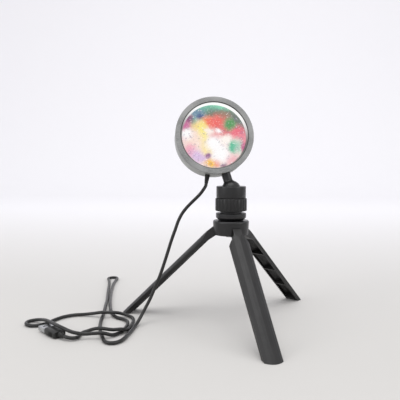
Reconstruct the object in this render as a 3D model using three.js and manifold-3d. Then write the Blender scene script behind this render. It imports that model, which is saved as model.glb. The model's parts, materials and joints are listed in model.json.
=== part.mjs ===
// Round colour-light projector on a folding table tripod, with its USB lead.
// Millimetres, +Z up, lens towards -Y. The tripod stands open on z = 0 and the lamp leans back
// and sideways on its ball joint. Everything is placed about the tripod's upright axis, and the
// whole object is moved at the end so that the middle of its footprint is the origin.
import * as THREE from "three";
import { mergeVertices } from "three/addons/utils/BufferGeometryUtils.js";
import Module from "manifold-3d";

const wasm = await Module();
wasm.setup();

// ---------------------------------------------------------------- sizes

const GAP = 0.3; // clearance between neighbouring pieces
const ROUND = 40; // flats round a large turned piece
const SMALL_ROUND = 16; // flats round a screw, pin or boss

// Tripod hub, with a recess underneath for its cap
const HUB_RADIUS = 18;
const HUB_BOTTOM_RADIUS = 17.2;
const HUB_BOTTOM = 87.9;
const HUB_TOP = 102;
const HUB_EDGE = 1.5;
const RECESS_RADIUS = 16;
const RECESS_DEPTH = 2.3;

// Leg hinges, set in slots in the hub
const LEG_AZIMUTHS = { leg_front: -71.8, leg_right: 48.2, leg_left: 168.2 };
const HINGE_REACH = 12;
const HINGE_HEIGHT = 94;
const KNUCKLE_RADIUS = 4.6;
const PIN_RADIUS = 1.5;
const PIN_LENGTH = 16;
const LUG_WIDTH = 3;

// Legs: an arched channel, open on the inner side, with cross ribs
const LEG_SLOPE = 44.4;
const NECK_SLOPE = 37.4;
const LEG_CREST = 6.31;
const LEG_EDGE = -1.03;
const LEG_NECK_HALF = 4.2;
const LEG_SHOULDER_HALF = 10;
const LEG_CROWN_RADIUS = 1.324 * LEG_SHOULDER_HALF;
const LEG_FOOT_HALF = 8.3;
const SHOULDER_START = 8.6;
const SHOULDER_END = 20;
const LEG_WALL = 1.6;
const LEG_ROOF = 2;
const LEG_BAYS = 4;
const RIB_THICKNESS = 1.6;
const FOOT_CORNER = 3;

// Ball head: collar, locking ring, socket, clamp cup and ball
const COLLAR_RADIUS = 15.06;
const COLLAR_HEIGHT = 6.9;
const COLLAR_EDGE = 2.2;
const NECK_RADIUS = 11;
const NECK_HEIGHT = 2.1;
const POST_RADIUS = 9.5;
const RING_RADIUS = 15.67;
const RING_HEIGHT = 12.4;
const RING_FLUTES = 26;
const FLUTE_DEPTH = 0.55;
const SLEEVE_RADIUS = 12.4;
const SOCKET_RADIUS = 14.68;
const SOCKET_HEIGHT = 11.6;
const BALL_RADIUS = 10;
const BALL_BELOW_RIM = 4.1;
const CUP_ROOM = 1;
const STEM_RADIUS = 4.6;
const SPIGOT_RADIUS = 2.8;
const SPIGOT_LENGTH = 3;
const SCREW_RADIUS = 3;
const SCREW_HEAD_RADIUS = 5;
const SCREW_HEAD_HEIGHT = 2.6;

// Pose of the lamp on its ball
const LEAN = 20.45;
const LEAN_HEADING = 152.55;
const LAMP_HEADING = -78.39;

// Lamp: depths run along its own axis from the line of the stem, forwards positive
const LAMP_RADIUS = 38.7;
// What a drum of another size adds to each radius that goes with it
const GROWTH = LAMP_RADIUS - 38.7;
const BARREL_WALL = 2;
const BARREL_FRONT = 4.4;
const BARREL_BACK = -13.95;
const GROOVE_RADIUS = 38 + GROWTH;
const BEZEL_RADIUS = 39.27 + GROWTH;
const BEZEL_BACK = 5;
const BEZEL_FRONT = 8.27;
const BEZEL_OPENING = 33.5 + GROWTH;
const SKIRT_BACK = 1;
const LENS_RADIUS = 33.2 + GROWTH;
const LENS_FRONT = 2;
const LENS_THICKNESS = 4;
const LENS_DOME = 1;
const GASKET_THICKNESS = 1;
const DISC_THICKNESS = 2;
const LEDGE_THICKNESS = 2.5;
const HOLDER_BACK = -13.2;
const SINK_THICKNESS = 3;
const FIN_HEIGHT = 7.5;
const COVER_BACK = -38;
const COVER_BACK_RADIUS = 24 + GROWTH;
const COVER_WALL = 2;
const REAR_SCREW_CIRCLE = 29.5 + GROWTH;
const BUTTON_RADIUS = 5.5;
const BUTTON_STAND = 1.6;
const BOARD_RADIUS = 21;
const BOARD_FRONT = -26.1;
const BOARD_THICKNESS = 1.6;
const INSERT_RADIUS = 4;

// Cable gland, round the barrel from the stem towards the lamp's left
const GLAND_ANGLE = 26.5;
const GLAND_DEPTH = -4;
const GLAND_BASE_RADIUS = 2.6;
const GLAND_TIP_RADIUS = 1.8;
const GLAND_LENGTH = 8.3;
const GLAND_NECK_RADIUS = 1.8;

// Lead and USB plug
const LEAD_RADIUS = 1.65;
const STRAIGHT_END = 2.4;
const PLUG_PLACE = [-162, -56.5];
const PLUG_HEADING = 138;
const PLUG_LENGTH = 18;
const PLUG_WIDTH = 13;
const PLUG_THICKNESS = 7;
const PLUG_CORNER = 2.2;
const RELIEF_LENGTH = 6;
const RELIEF_RADIUS = 2.9;
const SHELL_LENGTH = 11.5;
const SHELL_WIDTH = 12;
const SHELL_THICKNESS = 4.5;
const SHELL_WALL = 0.4;
const TONGUE_THICKNESS = 1.6;

// ---------------------------------------------------------------- helpers

const radians = THREE.MathUtils.degToRad;

// A closed solid for cutting and joining.
function solid(geometry) {
  const bare = geometry.clone();
  bare.deleteAttribute("normal");
  bare.deleteAttribute("uv");
  const merged = mergeVertices(bare, 1e-3);
  return new wasm.Manifold(
    new wasm.Mesh({
      numProp: 3,
      vertProperties: merged.attributes.position.array,
      triVerts: new Uint32Array(merged.index.array),
    }),
  );
}

// A cut or joined solid as geometry for a mesh.
function shapeOf(body) {
  const mesh = body.getMesh();
  const geometry = new THREE.BufferGeometry();
  geometry.setAttribute("position", new THREE.BufferAttribute(mesh.vertProperties, 3));
  geometry.setIndex(new THREE.BufferAttribute(mesh.triVerts, 1));
  return geometry;
}

// A turned piece about Z: its profile is [radius, height] from the axis below to the axis above.
function turned(profile, sides = ROUND) {
  const points = profile.map(([r, z]) => new THREE.Vector2(r, z));
  return new THREE.LatheGeometry(points, sides).rotateX(Math.PI / 2);
}

// A turned piece with a hole through it: the profile is a ring and is closed here.
function turnedRing(profile, sides = ROUND) {
  return turned([...profile, profile[0]], sides);
}

function cylinder(radius, from, to, sides = SMALL_ROUND) {
  return turned([[0, from], [radius, from], [radius, to], [0, to]], sides);
}

function shapeFrom(points) {
  return new THREE.Shape(points.map(([x, y]) => new THREE.Vector2(x, y)));
}

// A flat outline in X and Y, given thickness along Z.
function plate(shape, from, to) {
  const made = new THREE.ExtrudeGeometry(shape, { depth: to - from, bevelEnabled: false });
  return made.translate(0, 0, from);
}

// A flat outline in X and Z, given thickness along Y, equal on both sides.
function upright(shape, thickness) {
  const made = new THREE.ExtrudeGeometry(shape, { depth: thickness, bevelEnabled: false });
  return made.rotateX(Math.PI / 2).translate(0, thickness / 2, 0);
}

function block(x0, x1, y0, y1, z0, z1) {
  const made = new THREE.BoxGeometry(x1 - x0, y1 - y0, z1 - z0);
  return made.translate((x0 + x1) / 2, (y0 + y1) / 2, (z0 + z1) / 2);
}

// Points along a circle in the plane of a profile, from one angle to another.
function arc(centre, radius, from, to, steps) {
  return Array.from({ length: steps + 1 }, (_, i) => {
    const angle = radians(from + ((to - from) * i) / steps);
    return [centre[0] + radius * Math.cos(angle), centre[1] + radius * Math.sin(angle)];
  });
}

function around(shape, count, first = 0) {
  return Array.from({ length: count }, (_, i) =>
    shape.clone().rotateZ(radians(first + (360 * i) / count)),
  );
}

const join = (...bodies) => bodies.reduce((a, b) => a.add(b));
const cut = (body, ...tools) => tools.reduce((a, b) => a.subtract(b), body);

// ---------------------------------------------------------------- colours

const LOOKS = {
  black: { color: "#1b1c1e", roughness: 0.55, metalness: 0 },
  satinBlack: { color: "#232427", roughness: 0.42, metalness: 0 },
  grey: { color: "#9b9d9b", roughness: 0.5, metalness: 0 },
  barrelGrey: { color: "#a6a8a6", roughness: 0.42, metalness: 0 },
  white: { color: "#e8e8e4", roughness: 0.4, metalness: 0 },
  lens: { color: "#e9a7a0", roughness: 0.12, metalness: 0 },
  colours: { color: "#c96f6a", roughness: 0.2, metalness: 0 },
  clear: { color: "#dfe6ea", roughness: 0.08, metalness: 0 },
  rubber: { color: "#222222", roughness: 0.8, metalness: 0 },
  steel: { color: "#b4b6b8", roughness: 0.3, metalness: 1 },
  brass: { color: "#b89a55", roughness: 0.35, metalness: 1 },
  aluminium: { color: "#c2c4c6", roughness: 0.4, metalness: 1 },
  board: { color: "#2c5a3c", roughness: 0.5, metalness: 0 },
  chip: { color: "#f2e6a8", roughness: 0.4, metalness: 0 },
};

const object = new THREE.Group();

function piece(name, shape, look, frame = new THREE.Matrix4()) {
  const geometry = shape.isBufferGeometry ? shape : shapeOf(shape);
  const mesh = new THREE.Mesh(geometry.clone(), new THREE.MeshStandardMaterial(LOOKS[look]));
  mesh.name = name;
  mesh.applyMatrix4(frame);
  object.add(mesh);
}

// ---------------------------------------------------------------- hub

const slotWidth = 2 * (LEG_NECK_HALF + GAP);
const slotRadius = KNUCKLE_RADIUS + GAP;
const recessTop = HUB_BOTTOM + RECESS_DEPTH;
const hinge = [HINGE_REACH, HINGE_HEIGHT];
const neckNormal = 90 - NECK_SLOPE;

// The slot's roof follows the neck of the open leg, so it is the stop that holds the leg out.
function slotOutline() {
  const roof = arc(hinge, slotRadius, 180, neckNormal, 8);
  const [x, z] = roof[roof.length - 1];
  const reach = HUB_RADIUS + 2;
  const end = z - (reach - x) * Math.tan(radians(NECK_SLOPE));
  return shapeFrom([[reach, 80], [reach, end], ...roof.reverse(), [hinge[0] - slotRadius, 80]]);
}

const grooveHalf = PIN_RADIUS + GAP;
const grooveOutline = shapeFrom([
  [HINGE_REACH - grooveHalf, 80],
  [HINGE_REACH + grooveHalf, 80],
  ...arc(hinge, grooveHalf, 0, 180, 6),
]);

const legAngles = Object.values(LEG_AZIMUTHS);
const slot = upright(slotOutline(), slotWidth);
const groove = upright(grooveOutline, PIN_LENGTH + 2 * GAP);
const screwHole = cylinder(SCREW_RADIUS + GAP, 80, 130, 24);
const turnedTo = (shape, angle) => solid(shape.clone().rotateZ(radians(angle)));

const hubBlank = turnedRing([
  [SCREW_RADIUS + GAP, recessTop],
  [RECESS_RADIUS, recessTop],
  [RECESS_RADIUS, HUB_BOTTOM],
  [HUB_BOTTOM_RADIUS, HUB_BOTTOM],
  ...arc([HUB_RADIUS - HUB_EDGE, HUB_TOP - HUB_EDGE], HUB_EDGE, 0, 90, 3),
  [SCREW_RADIUS + GAP, HUB_TOP],
]);
const hubCuts = legAngles.flatMap((angle) => [turnedTo(slot, angle), turnedTo(groove, angle)]);
piece("tripod_hub", cut(solid(hubBlank), ...hubCuts), "satinBlack");

// The cap closes the recess; its lugs stand in the grooves and hold the hinge pins up.
const capTop = recessTop - GAP;
const capBottom = HUB_BOTTOM + GAP;
const lugTop = HINGE_HEIGHT - PIN_RADIUS - GAP;
const lugInner = slotWidth / 2 + GAP;
const lugOuter = PIN_LENGTH / 2;
const capCut = block(HINGE_REACH - slotRadius, 30, -slotWidth / 2, slotWidth / 2, 80, 100);
const lugs = legAngles.flatMap((angle) =>
  [-1, 1].map((side) => {
    const [y0, y1] = side > 0 ? [lugInner, lugOuter] : [-lugOuter, -lugInner];
    const half = LUG_WIDTH / 2;
    const lug = block(HINGE_REACH - half, HINGE_REACH + half, y0, y1, capTop - 1, lugTop);
    return turnedTo(lug, angle);
  }),
);
const capDisc = cut(
  solid(cylinder(RECESS_RADIUS - GAP, capBottom, capTop, ROUND)),
  solid(screwHole),
  ...legAngles.map((angle) => turnedTo(capCut, angle)),
);
piece("hub_cap", join(capDisc, ...lugs), "black");

// One screw holds the ball head on the hub and is the pivot it pans on.
const screwHeadTop = capBottom - GAP;
const collarBottom = HUB_TOP + GAP;
const collarTop = collarBottom + COLLAR_HEIGHT;
const neckTop = collarTop + NECK_HEIGHT;
const screwTop = neckTop + 4.4;
const screwHead = screwHeadTop - SCREW_HEAD_HEIGHT;
const hubScrew = solid(
  turned(
    [
      [0, screwHead],
      [SCREW_HEAD_RADIUS, screwHead],
      [SCREW_HEAD_RADIUS, screwHeadTop],
      [SCREW_RADIUS, screwHeadTop],
      [SCREW_RADIUS, screwTop],
      [0, screwTop],
    ],
    24,
  ),
);
const hexSocket = solid(cylinder(2.2, screwHead - 1, screwHead + 1.6, 6));
piece("hub_screw", cut(hubScrew, hexSocket), "steel");

// ---------------------------------------------------------------- legs

// In a leg's own frame X runs down the leg, Y across it and Z out of its crest, from the hinge.
const slope = radians(LEG_SLOPE);
const alongLeg = new THREE.Vector3(Math.cos(slope), 0, -Math.sin(slope));
const acrossLeg = new THREE.Vector3(0, 1, 0);
const outOfLeg = new THREE.Vector3(Math.sin(slope), 0, Math.cos(slope));
const legFrame = new THREE.Matrix4()
  .makeBasis(alongLeg, acrossLeg, outOfLeg)
  .setPosition(HINGE_REACH, 0, HINGE_HEIGHT);

// Distance down the leg at which a line at this height above the hinge meets the floor.
const floorAt = (height) => (HINGE_HEIGHT + height * Math.cos(slope)) / Math.sin(slope);
const legLength = floorAt(LEG_CREST);

const bend = LEG_SLOPE - NECK_SLOPE;
const neckMeets =
  (LEG_CREST - KNUCKLE_RADIUS / Math.cos(radians(bend))) / Math.tan(radians(bend));

function legSide() {
  const under = Math.hypot(SHOULDER_END, LEG_EDGE);
  const dip = THREE.MathUtils.radToDeg(Math.atan2(LEG_EDGE, SHOULDER_END));
  const tangent = dip - THREE.MathUtils.radToDeg(Math.acos(KNUCKLE_RADIUS / under));
  return shapeFrom([
    ...arc([0, 0], KNUCKLE_RADIUS, 90 + bend, 360 + tangent, 10),
    [SHOULDER_END, LEG_EDGE],
    [floorAt(LEG_EDGE), LEG_EDGE],
    [legLength, LEG_CREST],
    [neckMeets, LEG_CREST],
  ]);
}

const shoulderLength = SHOULDER_END - SHOULDER_START;
function halfWidthAt(s) {
  if (s <= SHOULDER_START) return LEG_NECK_HALF;
  if (s < SHOULDER_END) {
    const part = (s - SHOULDER_START) / shoulderLength;
    const ease = part * part * (3 - 2 * part);
    return LEG_NECK_HALF + (LEG_SHOULDER_HALF - LEG_NECK_HALF) * ease;
  }
  const down = (s - SHOULDER_END) / (legLength - SHOULDER_END);
  return LEG_SHOULDER_HALF + (LEG_FOOT_HALF - LEG_SHOULDER_HALF) * down;
}

function legPlan(from, to, inset) {
  const ramp = Array.from({ length: 6 }, (_, i) => SHOULDER_START + (shoulderLength * (i + 0.5)) / 6);
  const stations = [from, ...ramp.filter((s) => s > from && s < to), to];
  const side = stations.map((s) => [s, halfWidthAt(s) - inset]);
  const other = side.map(([s, y]) => [s, -y]).reverse();
  return shapeFrom([...side.map(([s, y]) => [s, -y]), ...other.map(([s, y]) => [s, -y])]);
}

// The arched section across the leg, run down its whole length.
function legArch(inset, reach) {
  const centre = [0, LEG_CREST - LEG_CROWN_RADIUS];
  const spread = THREE.MathUtils.radToDeg(Math.asin(reach / (LEG_CROWN_RADIUS - inset)));
  const crown = arc(centre, LEG_CROWN_RADIUS - inset, 90 - spread, 90 + spread, 8);
  const section = shapeFrom([[-reach, -8], [reach, -8], ...crown]);
  const run = new THREE.ExtrudeGeometry(section, { depth: legLength + 20, bevelEnabled: false });
  const basis = new THREE.Matrix4().makeBasis(
    new THREE.Vector3(0, 1, 0),
    new THREE.Vector3(0, 0, 1),
    new THREE.Vector3(1, 0, 0),
  );
  return run.applyMatrix4(basis).translate(-10, 0, 0);
}

const inLegFrame = (shape) => solid(shape.applyMatrix4(legFrame));

function legBody() {
  const plan = inLegFrame(plate(legPlan(-10, legLength + 5, 0), -8, 12));
  const side = inLegFrame(upright(legSide(), 2 * LEG_SHOULDER_HALF + 2));
  const arch = inLegFrame(legArch(0, LEG_SHOULDER_HALF + 0.4));
  const footReach = HINGE_REACH + legLength * Math.cos(slope) + LEG_CREST * Math.sin(slope);
  const half = LEG_FOOT_HALF + 4;
  const corner = footReach - FOOT_CORNER;
  const inner = halfWidthAt(legLength) - FOOT_CORNER;
  const sole = shapeFrom([
    [-10, -half],
    [corner, -half],
    ...arc([corner, -inner], FOOT_CORNER, -90, 0, 3),
    ...arc([corner, inner], FOOT_CORNER, 0, 90, 3),
    [corner, half],
    [-10, half],
  ]);
  const body = plan.intersect(side).intersect(arch).intersect(solid(plate(sole, -1, 110)));
  const bayStart = SHOULDER_END - 2;
  const bayEnd = floorAt(LEG_EDGE) - 4;
  const pitch = (bayEnd - bayStart + RIB_THICKNESS) / LEG_BAYS;
  const roofed = inLegFrame(legArch(LEG_ROOF, LEG_SHOULDER_HALF - 0.6));
  const bays = Array.from({ length: LEG_BAYS }, (_, i) => {
    const from = bayStart + pitch * i;
    const outline = legPlan(from, from + pitch - RIB_THICKNESS, LEG_WALL);
    return inLegFrame(plate(outline, -8, 12)).intersect(roofed);
  });
  const pinHole = inLegFrame(
    cylinder(PIN_RADIUS + GAP, -12, 12).rotateX(Math.PI / 2),
  );
  return cut(body, ...bays, pinHole);
}

const leg = shapeOf(legBody());
const pin = cylinder(PIN_RADIUS, -PIN_LENGTH / 2, PIN_LENGTH / 2)
  .rotateX(Math.PI / 2)
  .translate(HINGE_REACH, 0, HINGE_HEIGHT);
for (const [name, azimuth] of Object.entries(LEG_AZIMUTHS)) {
  const turn = new THREE.Matrix4().makeRotationZ(radians(azimuth));
  piece(name, leg, "black", turn);
  piece(name.replace("leg", "pin"), pin, "steel", turn);
}

// ---------------------------------------------------------------- ball head

const ringBottom = neckTop + GAP;
const ringTop = ringBottom + RING_HEIGHT;
const socketBottom = ringTop + GAP;
const socketTop = socketBottom + SOCKET_HEIGHT;
const ballHeight = socketTop - BALL_BELOW_RIM;
const bore = POST_RADIUS + GAP;
const seatRadius = BALL_RADIUS + GAP;
const cupBottom = ballHeight - BALL_RADIUS - 0.9;
const postTop = cupBottom - CUP_ROOM;
const holeRadius = SCREW_RADIUS + GAP;

piece(
  "base_collar",
  turnedRing([
    [holeRadius, collarBottom],
    ...arc([COLLAR_RADIUS - COLLAR_EDGE, collarBottom + COLLAR_EDGE], COLLAR_EDGE, -90, 0, 4),
    [COLLAR_RADIUS, collarTop],
    [NECK_RADIUS, collarTop],
    [NECK_RADIUS, neckTop],
    [POST_RADIUS, neckTop],
    [POST_RADIUS, postTop],
    [0, postTop],
    [0, screwTop + GAP],
    [holeRadius, screwTop + GAP],
  ]),
  "satinBlack",
);

function fluted(radius, depth, count) {
  const points = [];
  for (let i = 0; i < count; i += 1) {
    const step = 360 / count;
    for (const [part, r] of [[0, radius], [0.55, radius], [0.68, radius - depth], [0.87, radius - depth]]) {
      const angle = radians(step * (i + part));
      points.push([r * Math.cos(angle), r * Math.sin(angle)]);
    }
  }
  return shapeFrom(points);
}
const ringOutline = fluted(RING_RADIUS, FLUTE_DEPTH, RING_FLUTES);
const ringBore = solid(cylinder(SLEEVE_RADIUS + GAP, ringBottom - 1, ringTop + 1, ROUND));
piece("lock_ring", cut(solid(plate(ringOutline, ringBottom, ringTop)), ringBore), "black");

const rimAngle = THREE.MathUtils.radToDeg(Math.asin(BALL_BELOW_RIM / seatRadius));
const boreAngle = -THREE.MathUtils.radToDeg(Math.acos(bore / seatRadius));
piece(
  "socket_housing",
  turnedRing([
    [bore, neckTop + GAP],
    [SLEEVE_RADIUS, neckTop + GAP],
    [SLEEVE_RADIUS, socketBottom],
    [SOCKET_RADIUS, socketBottom],
    [SOCKET_RADIUS, socketTop - 0.8],
    [SOCKET_RADIUS - 0.8, socketTop],
    ...arc([0, ballHeight], seatRadius, rimAngle, boreAngle, 5),
  ]),
  "satinBlack",
);

const cupHole = 3.5;
const cupLow = -THREE.MathUtils.radToDeg(Math.acos(cupHole / seatRadius));
piece(
  "clamp_cup",
  turnedRing(
    [
      [cupHole, cupBottom],
      [POST_RADIUS, cupBottom],
      [POST_RADIUS, ballHeight + seatRadius * Math.sin(radians(-32))],
      ...arc([0, ballHeight], seatRadius, -32, cupLow, 5),
    ],
    32,
  ),
  "white",
);

// The stem leans from upright towards a heading, and the lamp faces its own heading about it.
const leanAxis = new THREE.Vector3(
  -Math.sin(radians(LEAN_HEADING)),
  Math.cos(radians(LEAN_HEADING)),
  0,
);
const leaning = new THREE.Matrix4().makeRotationAxis(leanAxis, radians(LEAN));
const stemLine = new THREE.Vector3(0, 0, 1).applyMatrix4(leaning);
const lampAxis = new THREE.Vector3(
  Math.cos(radians(LAMP_HEADING)),
  Math.sin(radians(LAMP_HEADING)),
  0,
).applyMatrix4(leaning);
const lampRight = new THREE.Vector3().crossVectors(stemLine, lampAxis);
const ballCentre = new THREE.Vector3(0, 0, ballHeight);
const stemLength = 17.9;
const lampCentre = ballCentre
  .clone()
  .addScaledVector(stemLine, stemLength + GAP + LAMP_RADIUS);

const stemFrame = new THREE.Matrix4()
  .makeBasis(lampAxis, lampRight, stemLine)
  .setPosition(ballCentre);
const ballTop = 90 - THREE.MathUtils.radToDeg(Math.asin((STEM_RADIUS + 0.8) / BALL_RADIUS));
piece(
  "ball_stud",
  turned(
    [
      ...arc([0, 0], BALL_RADIUS, -90, ballTop, 13),
      [STEM_RADIUS + 0.1, 9.6],
      [STEM_RADIUS, 10.6],
      [STEM_RADIUS, stemLength],
      [SPIGOT_RADIUS, stemLength],
      [SPIGOT_RADIUS, stemLength + SPIGOT_LENGTH],
      [0, stemLength + SPIGOT_LENGTH],
    ],
    32,
  ),
  "satinBlack",
  stemFrame,
);

// ---------------------------------------------------------------- lamp

// In the lamp's frame X is to its right seen from the front, Y up its stem and Z out of its lens.
const lampFrame = new THREE.Matrix4()
  .makeBasis(lampRight, stemLine, lampAxis)
  .setPosition(lampCentre);
const barrelBore = LAMP_RADIUS - BARREL_WALL;
const skirtOuter = barrelBore - GAP;
const skirtInner = skirtOuter - 1;
const tubeOuter = skirtInner - GAP;
const towardsStem = (shape) => shape.rotateX(Math.PI / 2);
const towardsGland = (shape) =>
  shape.rotateX(Math.PI / 2).rotateZ(radians(-GLAND_ANGLE)).translate(0, 0, GLAND_DEPTH);

const barrelTube = solid(
  turnedRing(
    [
      [barrelBore, BARREL_BACK],
      [LAMP_RADIUS, BARREL_BACK],
      [LAMP_RADIUS, BARREL_FRONT],
      [GROOVE_RADIUS, BARREL_FRONT],
      [GROOVE_RADIUS, BEZEL_BACK - GAP],
      [barrelBore, BEZEL_BACK - GAP],
    ],
    48,
  ),
);
const padHalf = INSERT_RADIUS + 4;
const padRing = solid(
  turnedRing([
    [skirtInner, -padHalf],
    [barrelBore + 1, -padHalf],
    [barrelBore + 1, BARREL_FRONT - GAP],
    [skirtInner, BARREL_FRONT - GAP],
  ], 48),
);
const padBox = solid(block(-padHalf, padHalf, -LAMP_RADIUS, -20, -20, 20));
const insertHole = solid(towardsStem(cylinder(INSERT_RADIUS + GAP, 30, 45 + GROWTH, 24)));
const glandHole = solid(towardsGland(cylinder(GLAND_NECK_RADIUS + GAP, 30, 45 + GROWTH)));
const barrel = cut(join(barrelTube, padRing.intersect(padBox)), insertHole, glandHole);
piece("barrel", barrel, "barrelGrey", lampFrame);

piece(
  "stand_insert",
  towardsStem(
    turnedRing(
      [
        [SPIGOT_RADIUS + GAP, skirtInner + GAP],
        [INSERT_RADIUS, skirtInner + GAP],
        [INSERT_RADIUS, LAMP_RADIUS],
        [SPIGOT_RADIUS + GAP, LAMP_RADIUS],
      ],
      24,
    ),
  ),
  "brass",
  lampFrame,
);

const flangeBack = skirtInner;
const flangeFront = flangeBack + 0.8;
piece(
  "cable_gland",
  towardsGland(
    turned([
      [0, flangeBack],
      [GLAND_NECK_RADIUS + 1.2, flangeBack],
      [GLAND_NECK_RADIUS + 1.2, flangeFront],
      [GLAND_NECK_RADIUS, flangeFront],
      [GLAND_NECK_RADIUS, LAMP_RADIUS + GAP],
      [GLAND_BASE_RADIUS, LAMP_RADIUS + GAP],
      [GLAND_BASE_RADIUS, LAMP_RADIUS + GAP + 1.2],
      [GLAND_TIP_RADIUS, LAMP_RADIUS + GAP + GLAND_LENGTH],
      [0, LAMP_RADIUS + GAP + GLAND_LENGTH],
    ], 16),
  ),
  "rubber",
  lampFrame,
);

// Bezel: a flat face with a chamfered opening, and a skirt that presses into the barrel.
const bezelBlank = solid(
  turnedRing([
    [skirtInner, SKIRT_BACK],
    [skirtOuter, SKIRT_BACK],
    [skirtOuter, BEZEL_BACK],
    [BEZEL_RADIUS, BEZEL_BACK],
    [BEZEL_RADIUS, BEZEL_FRONT - 0.5],
    [BEZEL_RADIUS - 0.5, BEZEL_FRONT],
    [BEZEL_OPENING + 1, BEZEL_FRONT],
    [BEZEL_OPENING, BEZEL_FRONT - 0.8],
    [BEZEL_OPENING, BEZEL_FRONT - 1.27],
    [skirtInner, BEZEL_FRONT - 1.27],
  ], 48),
);
const skirtNotch = solid(
  block(-padHalf - GAP, padHalf + GAP, -LAMP_RADIUS, -20, SKIRT_BACK - 1, BEZEL_BACK - GAP),
);
piece("bezel_ring", bezelBlank.subtract(skirtNotch), "grey", lampFrame);

const retainerTop = BEZEL_FRONT - 1.27 - GAP;
piece(
  "lens_retainer",
  turnedRing([
    [LENS_RADIUS - 1, LENS_FRONT + GAP],
    [tubeOuter, LENS_FRONT + GAP],
    [tubeOuter, retainerTop],
    [BEZEL_OPENING - 0.2, retainerTop],
  ]),
  "white",
  lampFrame,
);

const lensBack = LENS_FRONT - LENS_THICKNESS;
piece(
  "lens",
  turned([
    [0, lensBack],
    [LENS_RADIUS, lensBack],
    [LENS_RADIUS, LENS_FRONT],
    [LENS_RADIUS - 1.6, LENS_FRONT],
    [22, LENS_FRONT + 0.55 * LENS_DOME],
    [11, LENS_FRONT + 0.9 * LENS_DOME],
    [0, LENS_FRONT + LENS_DOME],
  ]),
  "lens",
  lampFrame,
);

const gasketFront = lensBack - GAP;
const gasketBack = gasketFront - GASKET_THICKNESS;
piece(
  "lens_gasket",
  turnedRing([
    [LENS_RADIUS - 2.4, gasketBack],
    [LENS_RADIUS, gasketBack],
    [LENS_RADIUS, gasketFront],
    [LENS_RADIUS - 2.4, gasketFront],
  ]),
  "rubber",
  lampFrame,
);

const discFront = gasketBack - GAP;
const discBack = discFront - DISC_THICKNESS;
piece("colour_disc", cylinder(LENS_RADIUS, discBack, discFront, ROUND), "colours", lampFrame);

const ledgeFront = discBack - GAP;
const ledgeBack = ledgeFront - LEDGE_THICKNESS;
const ledgeInner = LENS_RADIUS - 1.7;
const bossRadius = 3.4;
const shankRadius = 1.25;
const shankHole = shankRadius + GAP;
const shankTop = ledgeBack;
const holderTube = solid(
  turnedRing([
    [LENS_RADIUS + GAP, HOLDER_BACK],
    [tubeOuter, HOLDER_BACK],
    [tubeOuter, LENS_FRONT],
    [LENS_RADIUS + GAP, LENS_FRONT],
    [LENS_RADIUS + GAP, ledgeFront],
    [ledgeInner, ledgeFront],
    [ledgeInner, ledgeBack],
    [LENS_RADIUS + GAP, ledgeBack],
  ]),
);
const onScrewCircle = (shape) =>
  around(shape.translate(0, REAR_SCREW_CIRCLE, 0), 3).map((made) => solid(made));
const bosses = onScrewCircle(cylinder(bossRadius, HOLDER_BACK, ledgeBack + 1));
const holderHoles = onScrewCircle(cylinder(shankHole, HOLDER_BACK - 1, shankTop + GAP));
piece("lens_holder", cut(join(holderTube, ...bosses), ...holderHoles), "white", lampFrame);

// Heat sink with fins behind; its front carries the light-emitting chip on a small board.
const sinkFront = HOLDER_BACK - GAP;
const sinkBack = sinkFront - SINK_THICKNESS;
const boardRadius = 12;
const boardScrewReach = 10.2;
const smallShank = 0.9;
const ledScrews = [-1, 1].map((side) => side * boardScrewReach);
const fins = [-12, -6, 0, 6, 12].map((x) =>
  solid(block(x - 1, x + 1, -19, 19, sinkBack - FIN_HEIGHT, sinkBack + 1)),
);
const sinkHoles = onScrewCircle(cylinder(shankHole, -60, 0));
const ledHoles = ledScrews.map((x) =>
  solid(cylinder(smallShank + GAP, sinkFront - 2.6, 5, 12).translate(x, 0, 0)),
);
const sinkDisc = solid(cylinder(tubeOuter - GAP, sinkBack, sinkFront, ROUND));
piece("heat_sink", cut(join(sinkDisc, ...fins), ...sinkHoles, ...ledHoles), "aluminium", lampFrame);

const ledBoardBack = sinkFront + GAP;
const ledBoardFront = ledBoardBack + 1.2;
const ledBoard = solid(cylinder(boardRadius, ledBoardBack, ledBoardFront, 24));
piece("led_board", cut(ledBoard, ...ledHoles), "white", lampFrame);
piece(
  "led_chip",
  block(-2.5, 2.5, -2.5, 2.5, ledBoardFront + GAP, ledBoardFront + GAP + 1),
  "chip",
  lampFrame,
);
ledScrews.forEach((x, i) => {
  const head = ledBoardFront + GAP;
  const screw = turned(
    [
      [0, sinkFront - 2.2],
      [smallShank, sinkFront - 2.2],
      [smallShank, head],
      [1.5, head],
      [1.5, head + 1],
      [0, head + 1],
    ],
    12,
  );
  piece("led_screw_" + (i + 1), screw.translate(x, 0, 0), "steel", lampFrame);
});

const condenserBack = ledBoardFront + GAP;
piece(
  "condenser_lens",
  turned([
    [0, condenserBack + 1.7],
    [4, condenserBack + 1.7],
    [4, condenserBack],
    [8.2, condenserBack],
    [8.2, condenserBack + 1.2],
    [6.6, condenserBack + 3],
    [3.6, condenserBack + 4.2],
    [0, condenserBack + 4.7],
  ], 32),
  "clear",
  lampFrame,
);

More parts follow.
